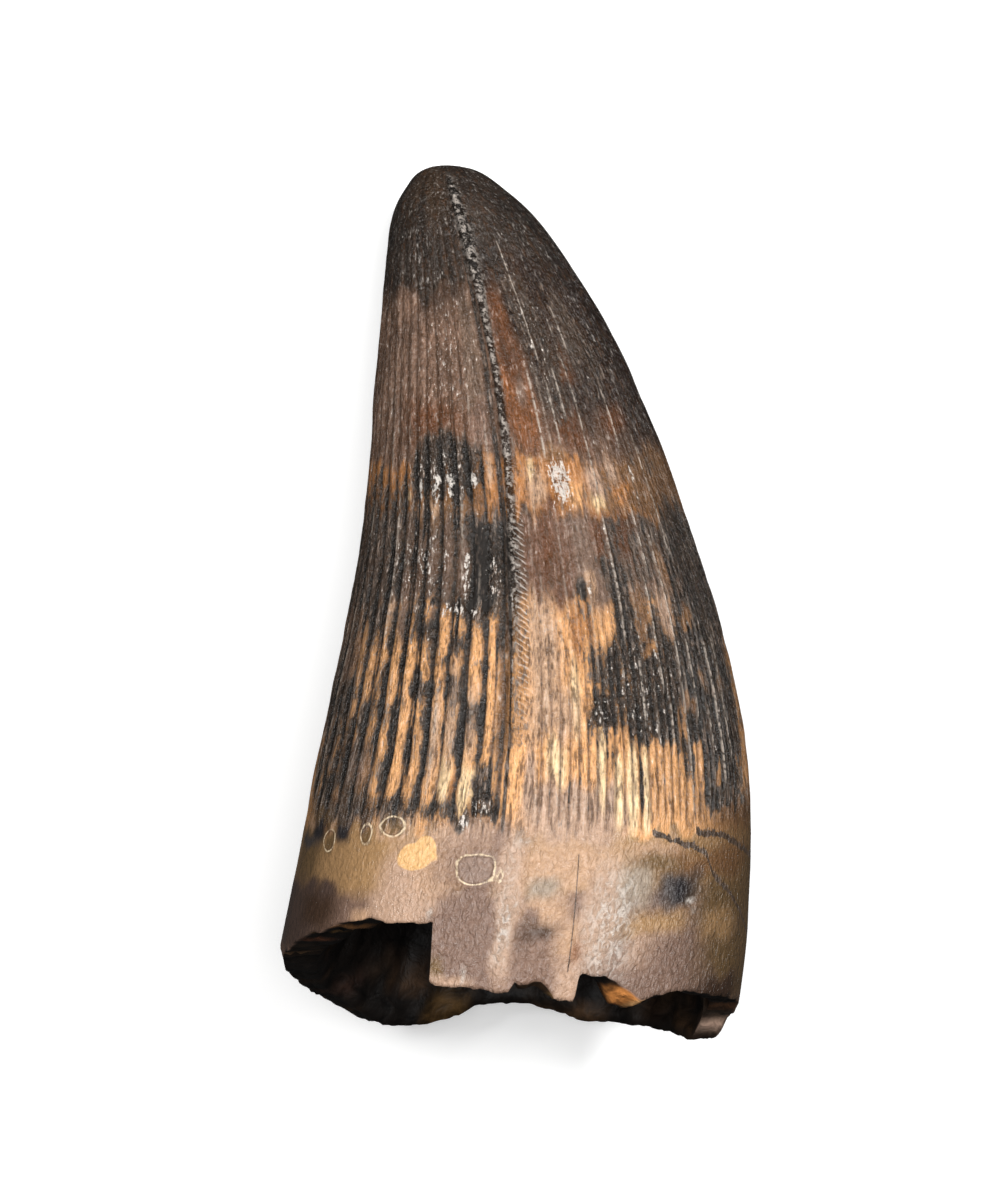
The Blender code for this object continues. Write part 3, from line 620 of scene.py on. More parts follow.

# Glints, painted as highlight specks and sheen on a lumpier, glossier surface: their brightness, and the rest
# as for pits
GLINT_PATCHES = (
    (0.34, 116, 8.8, 11, 2.6, 0.9), (0.46, 127, 17, 13, 1.7, 0.9), (0.45, 121, 13.6, 12, 1.4, 0.9),
    (0.8, 96.7, 18.6, 0.5, 0.8), (0.45, 96.7, 21.2, 0.45, 2.2, 0.6), (0.3, 74, 9, 7, 3, 0.9),
    (0.3, 128, 20.5, 14, 1.2, 0.9), (0.38, 60, 22, 11, 2.6, 0.9), (1, 129, 14.2, 0.6, 0.55, 0.4),
    (0.9, 122, 14.2, 1.3, 0.6), (0.9, 116.4, 14.1, 1.4, 0.65), (1, 108, 13.9, 1.5, 0.35),
    (1, 77, 13.9, 4, 0.95), (0.6, 86.6, 13.4, 0.8, 0.3, 0.6), (0.8, 45.4, 13.5, 1, 0.4),
    (0.7, 46, 14.5, 0.9, 0.2), (0.6, 126, 17.6, 1.6, 1.3, 0.6), (0.6, 119, 17, 1.2, 0.7, 0.6),
    (0.8, 111.4, 17.6, 1, 1), (0.5, 102.5, 17.5, 2.8, 1, 0.8), (0.7, 114, 19, 5.5, 0.16, 0.6),
    (0.8, 108.5, 19.1, 1.8, 0.13), (0.8, 72.8, 18.2, 1.2, 0.25), (0.8, 64.3, 17.25, 0.6, 0.1),
    (0.6, 72.5, 22.9, 4, 0.55, 0.7), (0.55, 103, 26.5, 3.4, 0.35, 0.7), (0.7, 107.2, 27.1, 1.4, 0.25),
    (0.9, 46.4, 30.1, 0.9, 0.08), (0.8, 45.3, 30.5, 0.6, 0.1, 0.6), (0.9, 94, 30.9, 1.5, 1, 0.9),
    (0.3, 95, 28.9, 2, 0.8, 0.9), (0.75, 69, 30.9, 4.5, 1.7, 0.9), (0.7, 92.6, 27.5, 1.8, 0.35, 0.8),
    (0.6, 101.8, 32.6, 0.5, 0.35), (0.7, 112, 30.4, 0.6, 0.18), (0.4, 133, 15.9, 1.2, 0.5, 0.7),
    (0.5, 132, 17.4, 1, 0.2, 0.6),
)

# A thin dark crack in the root: its angle, how far that moves with distance, half its width, and its ends
CRACK_ANGLE, CRACK_SLANT, CRACK_HALF_WIDTH, CRACK_START, CRACK_END = 78.5, 0.12, 0.31, 28.0, 32.6


def lay_over(under, value, weight):
    """Mixes a value or a colour into an array in place, by its weight at each point."""
    under += (np.array(value) - under) * weight


def paint(angle, distance, groove):
    """The pigment, the stain and the glint of each place: bands first, then patches over them.

    Each patch is read at a place that noise has moved a little, so its edges run out in tongues along
    the ridges on the enamel, and wander on the root. The left side's grooves have stain of their own.
    """
    root = smooth_step(ENAMEL_END - 0.3, ENAMEL_END + 0.6, distance)
    tongues = layered_noise(angle, distance, (0.42, 150, 4.0, 71), (0.25, 300, 2.5, 72))
    clouds = layered_noise(angle, distance, (0.22, 60, 0.9, 73), (0.1, 160, 0.4, 74))
    marbling = layered_noise(angle, distance, (0.8, 26, 1.6, 78), (0.5, 60, 0.9, 79))
    moved = distance + tongues * (1.0 - root) * smooth_step(5.0, 12.0, distance)
    moved = moved + clouds * (0.35 + 0.65 * root) + marbling * smooth_fall(8.0, 12.0, distance)
    turned = angle + 0.6 * around_noise(angle, distance, 90, 1.0, 75) * (0.4 + 1.2 * root)
    tint = np.zeros(angle.shape + (3,))
    stain = np.zeros(angle.shape)
    glint = np.zeros(angle.shape)

    for start, end, soft, name, value in BANDS:
        weight = plateau(moved, start - soft / 2, start + soft / 2, end + soft, end + 2 * soft)
        lay_over(tint, PIGMENTS[name], weight[..., None])
        lay_over(stain, value, weight)
    lower_side = smooth_fall(-0.25, 0.05, np.sin(np.radians(angle)))
    blotches = layered_noise(angle, distance, (1.0, 30, 2.6, 76), (0.6, 90, 1.3, 77))
    stain += 0.35 * blotches * lower_side * plateau(distance, *BLOTCHED_DISTANCES)
    for name, *place in TINT_PATCHES + ROOT_PATCHES:
        lay_over(tint, PIGMENTS[name], patch(turned, moved, *place)[..., None])
    shade = layered_noise(angle, distance, (0.45, 40, 1.1, 83), (0.3, 150, 0.9, 84))
    shade = 1.0 + shade * smooth_fall(5.0, 16.0, distance)
    # Painted shade: the pigment darkens toward both sides of the tooth, and more on the right side
    side = np.cos(np.radians(angle))
    painted_side_shade = 1.0 - 0.30 * smooth_step(0.55, 1.0, np.abs(side)) - 0.18 * smooth_step(0.3, 0.8, side)
    tint *= (shade * painted_side_shade)[..., None]
    for value, *place in STAIN_PATCHES:
        lay_over(stain, value, patch(turned, moved, *place))
    broken = plateau(angle, *BROKEN_STAIN_ANGLES) * plateau(distance, *BROKEN_STAIN_DISTANCES)
    stain = (stain + (0.20 - 0.38 * stain) * broken) * (1.0 - root)
    crack = np.abs(apart(angle, CRACK_ANGLE - CRACK_SLANT * (distance - CRACK_START))) < CRACK_HALF_WIDTH
    stain = np.where(crack & (distance > CRACK_START + 0.1) & (distance < CRACK_END), 0.8, stain)
    for value, *place in GLINT_PATCHES:
        glint = np.maximum(glint, value * patch(turned, distance, *place))

    left_side = plateau(angle, *LEFT_SIDE_ANGLES)
    stain = stain + 0.20 * groove * left_side * smooth_step(11.0, 14.0, distance)
    spots = layered_noise(angle, distance, (1.0, 68, 1.1, 93), (0.5, 136, 0.6, 94))
    spotted = left_side * plateau(distance, *SPOTTED_DISTANCES)
    return tint, stain + spotted * (0.10 - 0.25 * stain + 0.38 * spots), glint


# Marks on the broken face and in the cavity: the colour, and the rest as for pits
INSIDE_MARKS = (
    ((0.44, 0.17, 0.045), 61.8, 33.7, 4.9, 0.7, 0.2), ((0.6, 0.32, 0.13), 58, 33.85, 1.6, 0.2, 0.6),
    ((0.05, 0.025, 0.012), 63, 32.95, 3, 0.14), ((0.22, 0.1, 0.035), 140.5, 31.3, 2, 0.2),
    ((0.11, 0.06, 0.022), 149.5, 31.6, 0.9, 0.14, 0.7), ((0.08, 0.028, 0.013), 155, 31.85, 1.2, 0.12, 0.7),
    ((0.16, 0.09, 0.045), 173, 32.9, 1.6, 0.16, 0.7), ((0.06, 0.03, 0.012), 86, 33, 4, 0.4),
    ((0.2, 0.11, 0.04), 80.7, 33.35, 0.9, 0.25), ((0.07, 0.038, 0.02), 242, 34.8, 4.5, 0.55, 0.4),
    ((0.03, 0.017, 0.01), 232, 34, 10, 0.35, 0.6), ((0.085, 0.045, 0.014), 254.5, 36.2, 6.5, 0.75, 0.4),
    ((0.03, 0.014, 0.009), 216, 34.7, 5, 0.35, 0.6), ((0.03, 0.018, 0.012), 262, 34.5, 8, 0.8, 0.7),
    ((0.12, 0.08, 0.055), 353, 35.5, 4, 0.8, 0.8), ((0.42, 0.28, 0.21), 351.3, 35.95, 2.4, 0.3, 0.7),
    ((0.1, 0.045, 0.02), 4, 34.9, 6, 0.2), ((0.03, 0.016, 0.009), 322, 35.6, 7, 0.5, 0.6),
)
INSIDE_DARK, INSIDE_BROWN = (0.006, 0.004, 0.003), (0.045, 0.024, 0.012)


def inside_tint(angle, distance):
    """The colour of the broken face and the cavity: near black, with brown lumps and amber chips."""
    brown = smooth_step(0.0, 1.0, layered_noise(angle, distance, (1.0, 34, 1.3, 81), (0.5, 80, 0.6, 82)))
    low_side = 0.25 + 1.5 * smooth_step(0.1, -0.6, np.sin(np.radians(angle)))
    tint = np.zeros(angle.shape + (3,)) + INSIDE_DARK
    lay_over(tint, INSIDE_BROWN, (brown * low_side)[..., None])
    for colour, *place in INSIDE_MARKS:
        lay_over(tint, colour, patch(angle, distance, *place)[..., None])
    return tint


def grid_faces(rows, columns):
    """Quads between the rows of a closed ring of columns, turned so that the outside faces out."""
    row, column = np.meshgrid(np.arange(rows - 1), np.arange(columns), indexing="ij")
    here = row * columns + column
    beside = row * columns + (column + 1) % columns
    return np.stack([here, here + columns, beside + columns, beside], axis=-1).reshape(-1, 4)


def make_mesh(name, points, quads, fans):
    """A mesh from points in millimetres, quads, and the triangle fans that close its two poles."""
    mesh = bpy.data.meshes.new(name)
    corners = np.concatenate([quads.ravel(), fans.ravel()])
    starts = np.concatenate([4 * np.arange(len(quads)), 4 * len(quads) + 3 * np.arange(len(fans))])
    mesh.vertices.add(len(points))
    mesh.vertices.foreach_set("co", (points * MM).ravel())
    mesh.loops.add(len(corners))
    mesh.loops.foreach_set("vertex_index", corners)
    mesh.polygons.add(len(starts))
    mesh.polygons.foreach_set("loop_start", starts)
    mesh.update(calc_edges=True)
    mesh.validate()
    mesh.shade_smooth()
    return mesh


def add_attribute(mesh, name, kind, values):
    """A value on every point of the mesh, for the materials to read."""
    layer = mesh.attributes.new(name, kind, "POINT")
    field = {"FLOAT": "value", "FLOAT_VECTOR": "vector", "FLOAT_COLOR": "color"}[kind]
    layer.data.foreach_set(field, np.asarray(values, dtype=np.float32).ravel())


def fill(node, values):
    """Fills a node's inputs: with a link where the value is another node's output, else with the value."""
    for key, value in values.items():
        if isinstance(value, bpy.types.NodeSocket):
            node.id_data.links.new(value, node.inputs[key])
        else:
            node.inputs[key].default_value = value
    return node


def node_maker(tree):
    """A function that adds a node to the tree, with its inputs filled and its options set."""

    def add(kind, values=None, **options):
        node = tree.nodes.new(kind)
        for key, value in options.items():
            setattr(node, key, value)
        return fill(node, values or {})

    return add


def new_material(name):
    """A material with a Principled BSDF, and its shader and its node maker."""
    material = bpy.data.materials.new(name)
    material.use_nodes = True
    return material, material.node_tree.nodes["Principled BSDF"], node_maker(material.node_tree)


def streak_group():
    """A shader node group: noise that is drawn out along the ridges."""
    group = bpy.data.node_groups.get("along_the_ridges")
    if group:
        return group
    group = bpy.data.node_groups.new("along_the_ridges", "ShaderNodeTree")
    for name in ("Across", "Along", "Seed"):
        group.interface.new_socket(name, in_out="INPUT", socket_type="NodeSocketFloat")
    group.interface.new_socket("Value", in_out="OUTPUT", socket_type="NodeSocketFloat")
    add = node_maker(group)
    entry = add("NodeGroupInput").outputs
    lay = add("ShaderNodeAttribute", attribute_name="lay").outputs["Vector"]
    values = {"X": entry["Across"], "Y": entry["Across"], "Z": entry["Along"]}
    scale = add("ShaderNodeCombineXYZ", values).outputs["Vector"]
    place = add("ShaderNodeVectorMath", {0: lay, 1: scale}, operation="MULTIPLY").outputs["Vector"]
    values = {"Vector": place, "W": entry["Seed"], "Scale": 1.0, "Detail": 3.0, "Roughness": 0.6}
    noise = add("ShaderNodeTexNoise", values, noise_dimensions="4D")
    add("NodeGroupOutput", {"Value": noise.outputs["Fac"]})
    return group


def enamel_material(colours):
    """Fossil enamel and root: pigment from the tint, dark stain in streaks, pale crests, rings and flakes.

    The streaks, crests and grain change the colour and the height together, so that rubbed places are
    both paler and prouder, and the low ones between them are dark. Highlights and a sheen are painted
    into the colour, and so is shade in the grooves and the keel's wrinkles.
    """
    material, shader, add = new_material("fossil_enamel")
    own = {name: (*getattr(colours, name), 1.0) for name in ToothColours.__annotations__}

    def attribute(name, output="Fac"):
        return add("ShaderNodeAttribute", attribute_name=name).outputs[output]

    def streaks(across, along, seed):
        values = {"Across": across, "Along": along, "Seed": seed}
        return add("ShaderNodeGroup", values, node_tree=streak_group()).outputs["Value"]

    def calc(operation, a, b=0.0):
        return add("ShaderNodeMath", {0: a, 1: b}, operation=operation).outputs["Value"]

    def times(a, b):
        return calc("MULTIPLY", a, b)

    def plus(a, b):
        return calc("ADD", a, b)

    def one_minus(a):
        return calc("SUBTRACT", 1.0, a)

    def total(first, *shares):
        """The first value plus each (value, share), with the value taken about a half."""
        for value, share in shares:
            first = plus(first, times(calc("SUBTRACT", value, 0.5), share))
        return first

    def ramp(value, low, high, to_low=0.0, to_high=1.0):
        values = {"Value": value, "From Min": low, "From Max": high, "To Min": to_low, "To Max": to_high}
        return add("ShaderNodeMapRange", values, interpolation_type="SMOOTHSTEP").outputs["Result"]

    def mix(factor, a, b, kind="MIX"):
        return add("ShaderNodeMix", {0: factor, 6: a, 7: b}, data_type="RGBA", blend_type=kind).outputs[2]

    def blend(factor, a, b):
        return add("ShaderNodeMix", {0: factor, 2: a, 3: b}, data_type="FLOAT").outputs[0]

    def noise(place, scale, detail, rough=0.5, distortion=0.0):
        values = {"Vector": place, "Scale": scale, "Detail": detail}
        values.update({"Roughness": rough, "Distortion": distortion})
        return add("ShaderNodeTexNoise", values).outputs["Fac"]

    stain, groove, crest, glint, rope, wrinkled, root, ring, flake = map(attribute, (
        "stain", "groove", "crest", "glint", "rope", "wrinkled", "root", "ring", "flake",
    ))
    tint, lay = attribute("tint", "Color"), attribute("lay", "Vector")
    across = add("ShaderNodeSeparateXYZ", {0: lay}).outputs["X"]
    coarse, fine, hair = streaks(1.4, 0.25, 1.0), streaks(5.0, 0.65, 5.0), streaks(12.0, 1.5, 9.0)
    grain, specks = noise(lay, 5.0, 4.0, 0.62, 0.3), noise(lay, 11.0, 2.0, 0.6)
    enamel = one_minus(root)
    crest_side = one_minus(times(groove, 1.3))

    # Where the stain, the crack and the seams are
    wave = total(stain, (coarse, 0.9), (fine, 1.3), (hair, 0.9), (grain, 0.6))
    wave = plus(wave, times(groove, 0.30))
    dark_share = blend(root, ramp(wave, 0.36, 0.70), ramp(stain, 0.5, 0.8))
    for seam, thickness in (("seam_upper", 0.10), ("seam_lower", 0.12)):
        off = calc("ABSOLUTE", total(attribute(seam), (grain, 0.25)))
        uneven = total(thickness, (fine, 0.35), (grain, 0.3))
        dark_share = calc("MAXIMUM", dark_share, one_minus(ramp(calc("SUBTRACT", off, uneven), -0.02, 0.03)))

    # Pigment, darkened in the grooves by dirt and painted shade, with painted highlight streaks and dark
    # hairlines, and the stain and its rubbed streaks over it
    lively = ramp(total(0.5, (fine, 0.9), (hair, 1.0), (grain, 0.35)), 0.14, 0.86, 0.42, 1.50)
    mottled = ramp(total(0.5, (grain, 1.2)), 0.15, 0.85, 0.84, 1.16)
    bright = blend(root, lively, mottled)
    grey = add("ShaderNodeCombineXYZ", {0: bright, 1: bright, 2: bright}).outputs[0]
    pigment = mix(1.0, mix(ramp(flake, -0.03, 0.03), own["flake"], tint), grey, "MULTIPLY")
    # Brown dirt and painted shade: the grooves of the enamel darken toward the groove colour
    pigment = mix(times(times(groove, enamel), 0.80), pigment, own["groove"])
    # Painted highlight: pale streaks drawn along the ridges
    painted_streak_highlights = ramp(total(0.5, (hair, 1.5), (fine, 1.0), (grain, 0.3)), 0.62, 0.92, 0.0, 0.55)
    pigment = mix(times(painted_streak_highlights, enamel), pigment, mix(0.6, pigment, own["painted_sparkle"]))
    hairlines = ramp(total(0.5, (fine, 1.8), (hair, 1.2)), 0.44, 0.20, 0.0, 0.55)
    pigment = mix(times(hairlines, enamel), pigment, own["groove"])
    thick = ramp(total(wave, (coarse, 0.6), (hair, 0.6), (grain, 0.5)), 0.52, 1.02)
    rubbed = ramp(total(times(crest_side, 0.5), (hair, 2.2), (fine, 1.5), (grain, 0.4)), 0.42, 0.92)
    rubbed = times(times(rubbed, ramp(across, -1.5, 0.5, 0.95, 0.58)), ramp(stain, 0.9, 1.2, 1.0, 0.25))
    stain_colour = mix(rubbed, mix(thick, own["thin_stain"], own["stain"]), own["worn_stain"])
    colour = mix(dark_share, pigment, stain_colour)

    # Crests (pale, partly painted highlight), the keel's beads, and its wrinkles with painted shade and
    # highlight; the scars' edges with painted shadow inside; painted highlight specks; the root's painted
    # sheen
    pale = ramp(total(grain, (hair, 0.6)), 0.38, 0.54, 0.1, 1.0)
    beads = ramp(total(noise(lay, 3.4, 3.0, 0.65, 0.4), (specks, 0.5)), 0.46, 0.60, 0.0, 0.95)
    slanted = add("ShaderNodeMapping", {"Vector": lay, "Scale": (-1.7, 0.3, 2.5)}).outputs["Vector"]
    values = {"Vector": slanted, "Scale": 1.0, "Distortion": 4.5, "Detail": 2.0}
    wrinkle = add("ShaderNodeTexWave", values, bands_direction="DIAGONAL").outputs["Fac"]
    wrinkles = total(wrinkle, (grain, 1.3))
    ring_shadow = one_minus(ramp(calc("ABSOLUTE", plus(ring, 0.06)), 0.01, 0.05))
    ring_line = one_minus(ramp(calc("ABSOLUTE", ring), 0.008, 0.05))
    ring_gaps = ramp(total(grain, (fine, 0.8), (specks, 0.4)), 0.36, 0.60, 0.15, 0.95)
    # Painted highlight: bright specks on the crests and in the glint patches, which are also glossier
    painted_sparkle = total(times(crest_side, 0.12), (specks, 0.7), (hair, 1.5), (grain, 0.5))
    painted_sparkle = calc("SUBTRACT", painted_sparkle, times(root, 0.12))
    painted_sparkle = ramp(plus(painted_sparkle, times(glint, blend(root, 0.50, 0.1))), 0.42, 0.60, 0.0, 0.85)
    values = {"Vector": lay, "Rotation": (0.0, 0.7, 0.0), "Scale": (4.6, 3.6, 3.0)}
    folds = noise(add("ShaderNodeMapping", values).outputs["Vector"], 1.0, 3.0, distortion=1.0)
    # Painted sheen: a pale highlight over the root's folds in the glint patches
    painted_sheen = times(times(glint, root), ramp(folds, 0.40, 0.66, 0.15, 0.9))
    for share, name in (
        # pale crests: partly worn paler, partly a painted highlight
        (times(crest, pale), "crest"),
        (ramp(rope, 0.1, 0.6, 0.0, 0.9), "stain"),
        (times(rope, beads), "rope"),
        # painted shade in the gaps of the keel's wrinkles, and painted highlight on their tops
        (times(wrinkled, ramp(wrinkles, 0.5, 0.15, 0.0, 0.5)), "groove"),
        (times(wrinkled, ramp(wrinkles, 0.75, 1.0, 0.0, 0.4)), "painted_sparkle"),
        (times(ring_shadow, 0.5), "groove"),
        (times(ring_line, ring_gaps), "ring"),
        (painted_sparkle, "painted_sparkle"),
        (calc("MINIMUM", painted_sheen, 0.65), "painted_sparkle"),
    ):
        colour = mix(share, colour, own[name])

    # Gloss and height
    rough = plus(ramp(grain, 0.3, 0.7, 0.20, 0.34), ramp(stain, 0.95, 1.2, 0.0, 0.45))
    flat = total(0.0, (fine, 1.3), (hair, 0.7), (grain, 0.9))
    leather = times(total(0.0, (folds, 1.3), (grain, 0.5)), ramp(across, -5.5, -2.0, 0.4, 1.0))
    height = plus(blend(root, flat, leather), times(times(wrinkle, wrinkled), 0.6))
    for lumpy in (glint, rope):
        height = plus(height, times(times(calc("SUBTRACT", grain, 0.5), lumpy), 2.2))
    bump = add("ShaderNodeBump", {"Strength": 1.0, "Distance": 0.12 * MM, "Height": height}).outputs["Normal"]
    rough = blend(painted_sparkle, rough, 0.20)
    fill(shader, {"Base Color": colour, "Roughness": rough, "IOR": 1.47, "Normal": bump})
    return material


def inside_material():
    """The broken dentine and the cavity's wall: lumpy, dull and dark, coloured by the tint."""
    material, shader, add = new_material("broken_dentine")
    tint = add("ShaderNodeAttribute", attribute_name="tint").outputs["Color"]
    place = add("ShaderNodeTexCoord").outputs["Object"]
    values = {"Vector": place, "Scale": 1300.0, "Detail": 4.0, "Roughness": 0.6, "Distortion": 0.6}
    lumps = add("ShaderNodeTexNoise", values).outputs["Fac"]
    values = {"Value": lumps, "From Min": 0.3, "From Max": 0.7, "To Min": 0.3, "To Max": 1.7}
    shade = add("ShaderNodeMapRange", values).outputs["Result"]
    values = {0: 1.0, 6: tint, 7: shade}
    colour = add("ShaderNodeMix", values, data_type="RGBA", blend_type="MULTIPLY").outputs[2]
    rough = add("ShaderNodeMapRange", {"Value": lumps, "To Min": 0.42, "To Max": 0.75}).outputs["Result"]
    bump = add("ShaderNodeBump", {"Strength": 0.8, "Distance": 0.2 * MM, "Height": lumps}).outputs["Normal"]
    fill(shader, {"Base Color": colour, "Roughness": rough, "Specular IOR Level": 0.3, "Normal": bump})
    return material


def number_property(name, description, default, **options):
    """A number that the user can change."""
    return FloatProperty(name=name, description=description, default=default, **options)


def length_property(name, description, millimetres):
    """A length that the user can change, given here in millimetres."""
    return number_property(name, description, millimetres * MM, unit="LENGTH", precision=5)


def colour_property(name, description, default):
    """A colour that the user can change."""
    return FloatVectorProperty(
        name=name, description=description, default=default, subtype="COLOR", min=0.0, max=1.0
    )


class ToothShape(bpy.types.PropertyGroup):
    """The sizes of the tooth's relief that a user would change."""

    ridge_height: length_property("Ridge height", "From groove to crest", 0.11)
    keel_height: length_property("Keel height", "How far the two keels stand out", KEEL_HEIGHT)
    wall_thickness: length_property("Wall thickness", "At the broken base", WALL_THICKNESS)


class ToothColours(bpy.types.PropertyGroup):
    """The colours that lie over the painted pigments: stains, marks, and the painted highlight and shade."""

    stain: colour_property("Stain", "The black mineral stain", (0.014, 0.0105, 0.008))
    thin_stain: colour_property("Thin stain", "The mineral stain where it is thin", (0.056, 0.036, 0.024))
    worn_stain: colour_property("Worn stain", "The stain where it is rubbed grey", (0.26, 0.185, 0.14))
    # Groove: brown dirt in the grooves, which also serves as painted shade there, in the keel's wrinkles and
    # inside the scars' edges
    groove: colour_property("Groove", "Brown dirt in the grooves of clean enamel", (0.10, 0.052, 0.028))
    # Crest: paler worn crests, partly a painted highlight along them
    crest: colour_property("Crest", "The pale hair-thin crests", (0.50, 0.42, 0.35))
    rope: colour_property("Keel beads", "The worn beads of the keel", (0.56, 0.49, 0.43))
    ring: colour_property("Scar edge", "The cream edge of the ringed scars", (0.86, 0.68, 0.46))
    flake: colour_property("Amber flake", "The clean amber patch on the root", (0.80, 0.47, 0.20))
    # Painted highlight: the colour of the bright specks, the pale streaks, the wrinkles' tops and the root's
    # sheen
    painted_sparkle: colour_property("Sparkle", "Bright flaky specks", (0.92, 0.84, 0.76))


class StageSettings(bpy.types.PropertyGroup):
    """The camera and the light."""

    camera_height: length_property("Camera height", "Above the floor", 110.0)
    camera_distance: length_property("Camera place", "Distance from the tooth's tip, toward the base", 18.6)
    lens: number_property("Lens", "Focal length in millimetres", 75.0)
    key_power: number_property("Right softbox", "Power in watts", 0.55)
    fill_power: number_property("Left softbox", "Power in watts", 0.28)
    top_power: number_property("Top softbox", "Power in watts", 0.95)
    world_light: number_property("World light", "Strength of the plain white world", 0.045)
    floor_glow: number_property("Floor glow", "How strongly the floor glows by itself", 0.3)
    floor: colour_property("Floor", "The pale floor", (0.86, 0.86, 0.855))


def whole(outer, inner, at_tip, at_end):
    """One value for every point of the tooth, in the mesh's order: outside, inside, tip and blind end."""
    return np.concatenate([outer.ravel(), inner.ravel(), (at_tip, at_end)])


class FOSSIL_OT_tooth(bpy.types.Operator):
    """Make the tooth over its solid"""

    bl_idname = "fossil.make_tooth"
    bl_label = "Make the tooth"

    def execute(self, context):
        shape, colours = context.scene.fossil_shape, context.scene.fossil_colours
        columns = column_layout()
        count = len(columns[0])
        base_angle, angle, distance, relief, masks = build_outside(columns, shape)
        outside = oval_points(angle, distance, half_width(distance), relief)
        inside_angle, inside_distance, *inside = build_inside(columns, base_angle[-1], distance[-1], shape)
        lining = oval_points(inside_angle, inside_distance, *inside)
        poles = oval_points(np.zeros(2), np.array((0.0, CAVITY_BLIND_END)), np.zeros(2), np.zeros(2))
        points = np.concatenate([outside.reshape(-1, 3), lining.reshape(-1, 3), poles])
        rows = len(outside) + len(lining)
        ring, last = np.arange(count), (rows - 1) * count
        after = (ring + 1) % count
        fans = np.concatenate([
            np.stack([np.full(count, rows * count), ring, after], axis=1),
            np.stack([last + ring, np.full(count, rows * count + 1), last + after], axis=1),
        ])
        mesh = make_mesh("fossil_tooth", points, grid_faces(rows, count), fans)

        tint, stain, glint = paint(base_angle, distance, masks["groove"])
        lining_tint = inside_tint(inside_angle, inside_distance)
        inner = np.zeros(inside_angle.shape)
        for name, values in {**masks, "stain": stain, "glint": glint}.items():
            add_attribute(mesh, name, "FLOAT", whole(values, inner, values[0].mean(), 0.0))
        turn = np.radians(whole(base_angle, inside_angle, 0.0, 0.0))
        along = whole(distance, inside_distance, 0.0, CAVITY_BLIND_END)
        lay = np.stack([half_width(along) * np.cos(turn), half_width(along) * np.sin(turn), along], axis=1)
        add_attribute(mesh, "lay", "FLOAT_VECTOR", lay)
        surfaces = [tint.reshape(-1, 3), lining_tint.reshape(-1, 3)]
        tints = np.concatenate([*surfaces, tint[0, :1], lining_tint[-1, :1]])
        add_attribute(mesh, "tint", "FLOAT_COLOR", np.pad(tints, ((0, 0), (0, 1)), constant_values=1.0))

        mesh.materials.append(enamel_material(colours))
        mesh.materials.append(inside_material())
        row_of_quad = np.repeat(np.arange(rows - 1), count)
        slots = np.concatenate([row_of_quad >= len(outside) - 1, np.zeros(count), np.ones(count)])
        mesh.polygons.foreach_set("material_index", slots.astype(np.int32))
        tooth = bpy.data.objects.new("fossil_tooth", mesh)
        context.scene.collection.objects.link(tooth)
        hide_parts("tooth")
        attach(tooth, "root")
        return {"FINISHED"}


WHITE = (1.0, 1.0, 1.0, 1.0)
FLOOR_HALF_SIDE = 2.0
SENSOR_WIDTH = 36.0
# Area lamps that face the origin: the name, the place and the size in metres
SOFTBOXES = (
    ("right_softbox", (0.15, 0.09, 0.22), (0.045, 0.10)),
    ("left_softbox", (-0.15, 0.09, 0.22), (0.045, 0.10)),
    ("top_softbox", (0.0, 0.05, 0.40), (0.20, 0.20)),
)


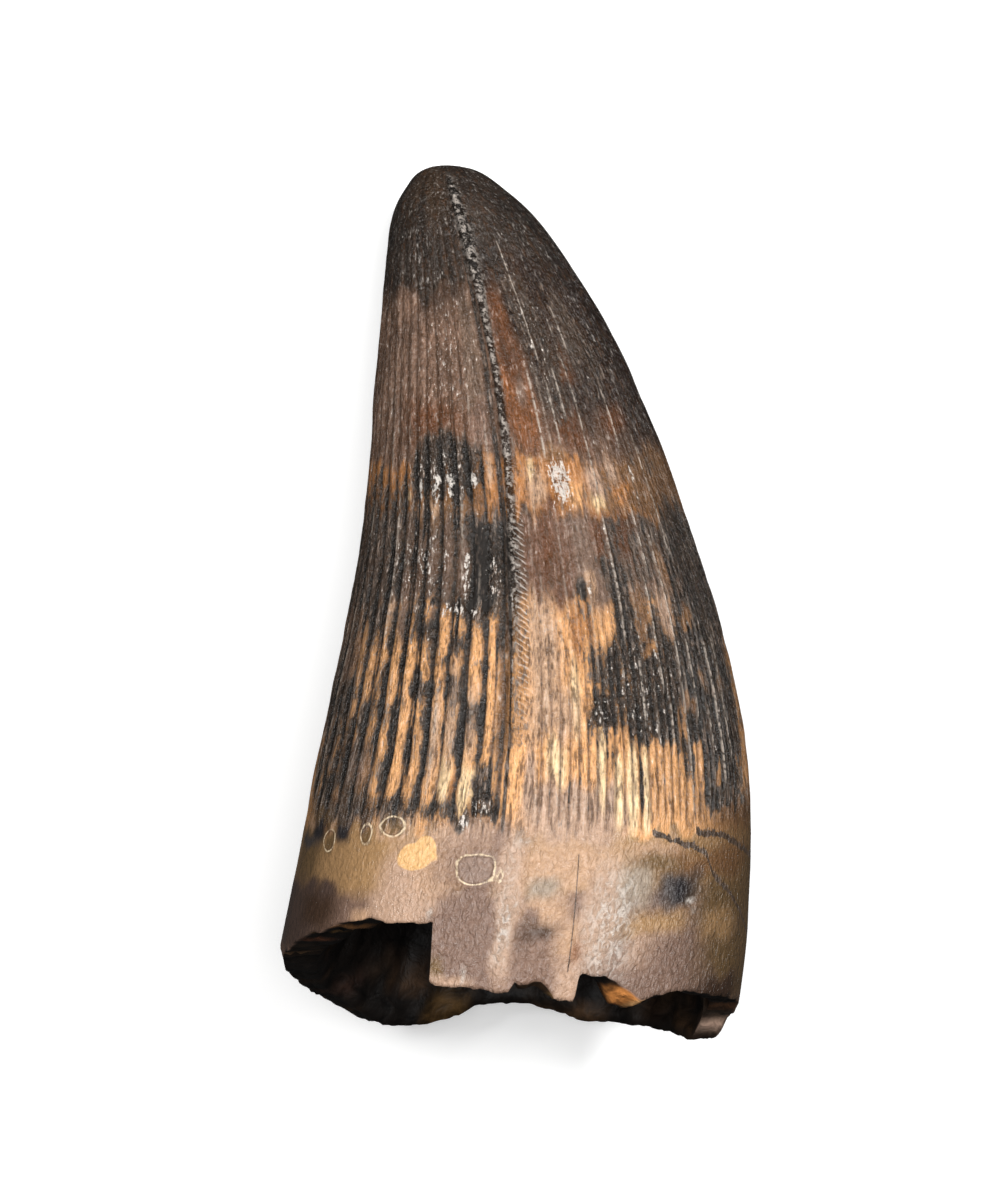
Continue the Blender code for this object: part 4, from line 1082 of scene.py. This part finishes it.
class FOSSIL_OT_stage(bpy.types.Operator):
    """Make the floor, the light and the camera"""

    bl_idname = "fossil.make_stage"
    bl_label = "Make the stage"

    def execute(self, context):
        scene, stage = context.scene, context.scene.fossil_stage
        side = FLOOR_HALF_SIDE
        corners = ((-side, -side, 0.0), (side, -side, 0.0), (side, side, 0.0), (-side, side, 0.0))
        square = bpy.data.meshes.new("floor")
        square.from_pydata(corners, [], [(0, 1, 2, 3)])
        floor = bpy.data.objects.new("floor", square)
        scene.collection.objects.link(floor)
        material, shader = new_material("pale_floor")[:2]
        fill(shader, {"Base Color": (*stage.floor, 1.0), "Roughness": 0.9})
        fill(shader, {"Emission Color": WHITE, "Emission Strength": stage.floor_glow})
        square.materials.append(material)
        floor.visible_diffuse = floor.visible_glossy = False

        world = bpy.data.worlds.new("white_room")
        world.use_nodes = True
        fill(world.node_tree.nodes["Background"], {"Color": WHITE, "Strength": stage.world_light})
        scene.world = world

        powers = (stage.key_power, stage.fill_power, stage.top_power)
        for (name, place, size), power in zip(SOFTBOXES, powers):
            data = bpy.data.lights.new(name, "AREA")
            data.shape = "RECTANGLE"
            data.size, data.size_y = size
            data.energy = power
            lamp = bpy.data.objects.new(name, data)
            away = Vector(place).normalized()
            across = Vector((0.0, 1.0, 0.0)).cross(away).normalized()
            turned = Matrix((across, away.cross(across), away)).transposed()
            lamp.matrix_world = Matrix.Translation(place) @ turned.to_4x4()
            scene.collection.objects.link(lamp)

        lens = bpy.data.cameras.new("camera")
        lens.sensor_width = SENSOR_WIDTH
        lens.lens = stage.lens
        lens.clip_start = MM
        camera = bpy.data.objects.new("camera", lens)
        camera.location = (CENTRE_LINE_SHIFT * MM, TIP_Y * MM - stage.camera_distance, stage.camera_height)
        scene.collection.objects.link(camera)
        scene.camera = camera
        scene.view_settings.view_transform = "Standard"
        return {"FINISHED"}


class FOSSIL_PT_panel(bpy.types.Panel):
    """Lists what the add-on makes"""

    bl_idname = "FOSSIL_PT_panel"
    bl_label = "Fossil tooth"
    bl_space_type = "VIEW_3D"
    bl_region_type = "UI"
    bl_category = "Fossil tooth"

    def draw(self, context):
        for group, operator in (
            (context.scene.fossil_shape, FOSSIL_OT_tooth.bl_idname),
            (context.scene.fossil_colours, None),
            (context.scene.fossil_stage, FOSSIL_OT_stage.bl_idname),
        ):
            box = self.layout.box()
            for name in group.__annotations__:
                box.prop(group, name)
            if operator:
                box.operator(operator)


CLASSES = (ToothShape, ToothColours, StageSettings, FOSSIL_OT_tooth, FOSSIL_OT_stage, FOSSIL_PT_panel)
GROUPS = {"fossil_shape": ToothShape, "fossil_colours": ToothColours, "fossil_stage": StageSettings}


def register():
    for item in CLASSES:
        bpy.utils.register_class(item)
    for name, group in GROUPS.items():
        setattr(bpy.types.Scene, name, PointerProperty(type=group))


def unregister():
    for name in GROUPS:
        delattr(bpy.types.Scene, name)
    for item in reversed(CLASSES):
        bpy.utils.unregister_class(item)


def main():
    register()
    bpy.ops.fossil.make_tooth()
    bpy.ops.fossil.make_stage()


if __name__ == "__main__":
    main()
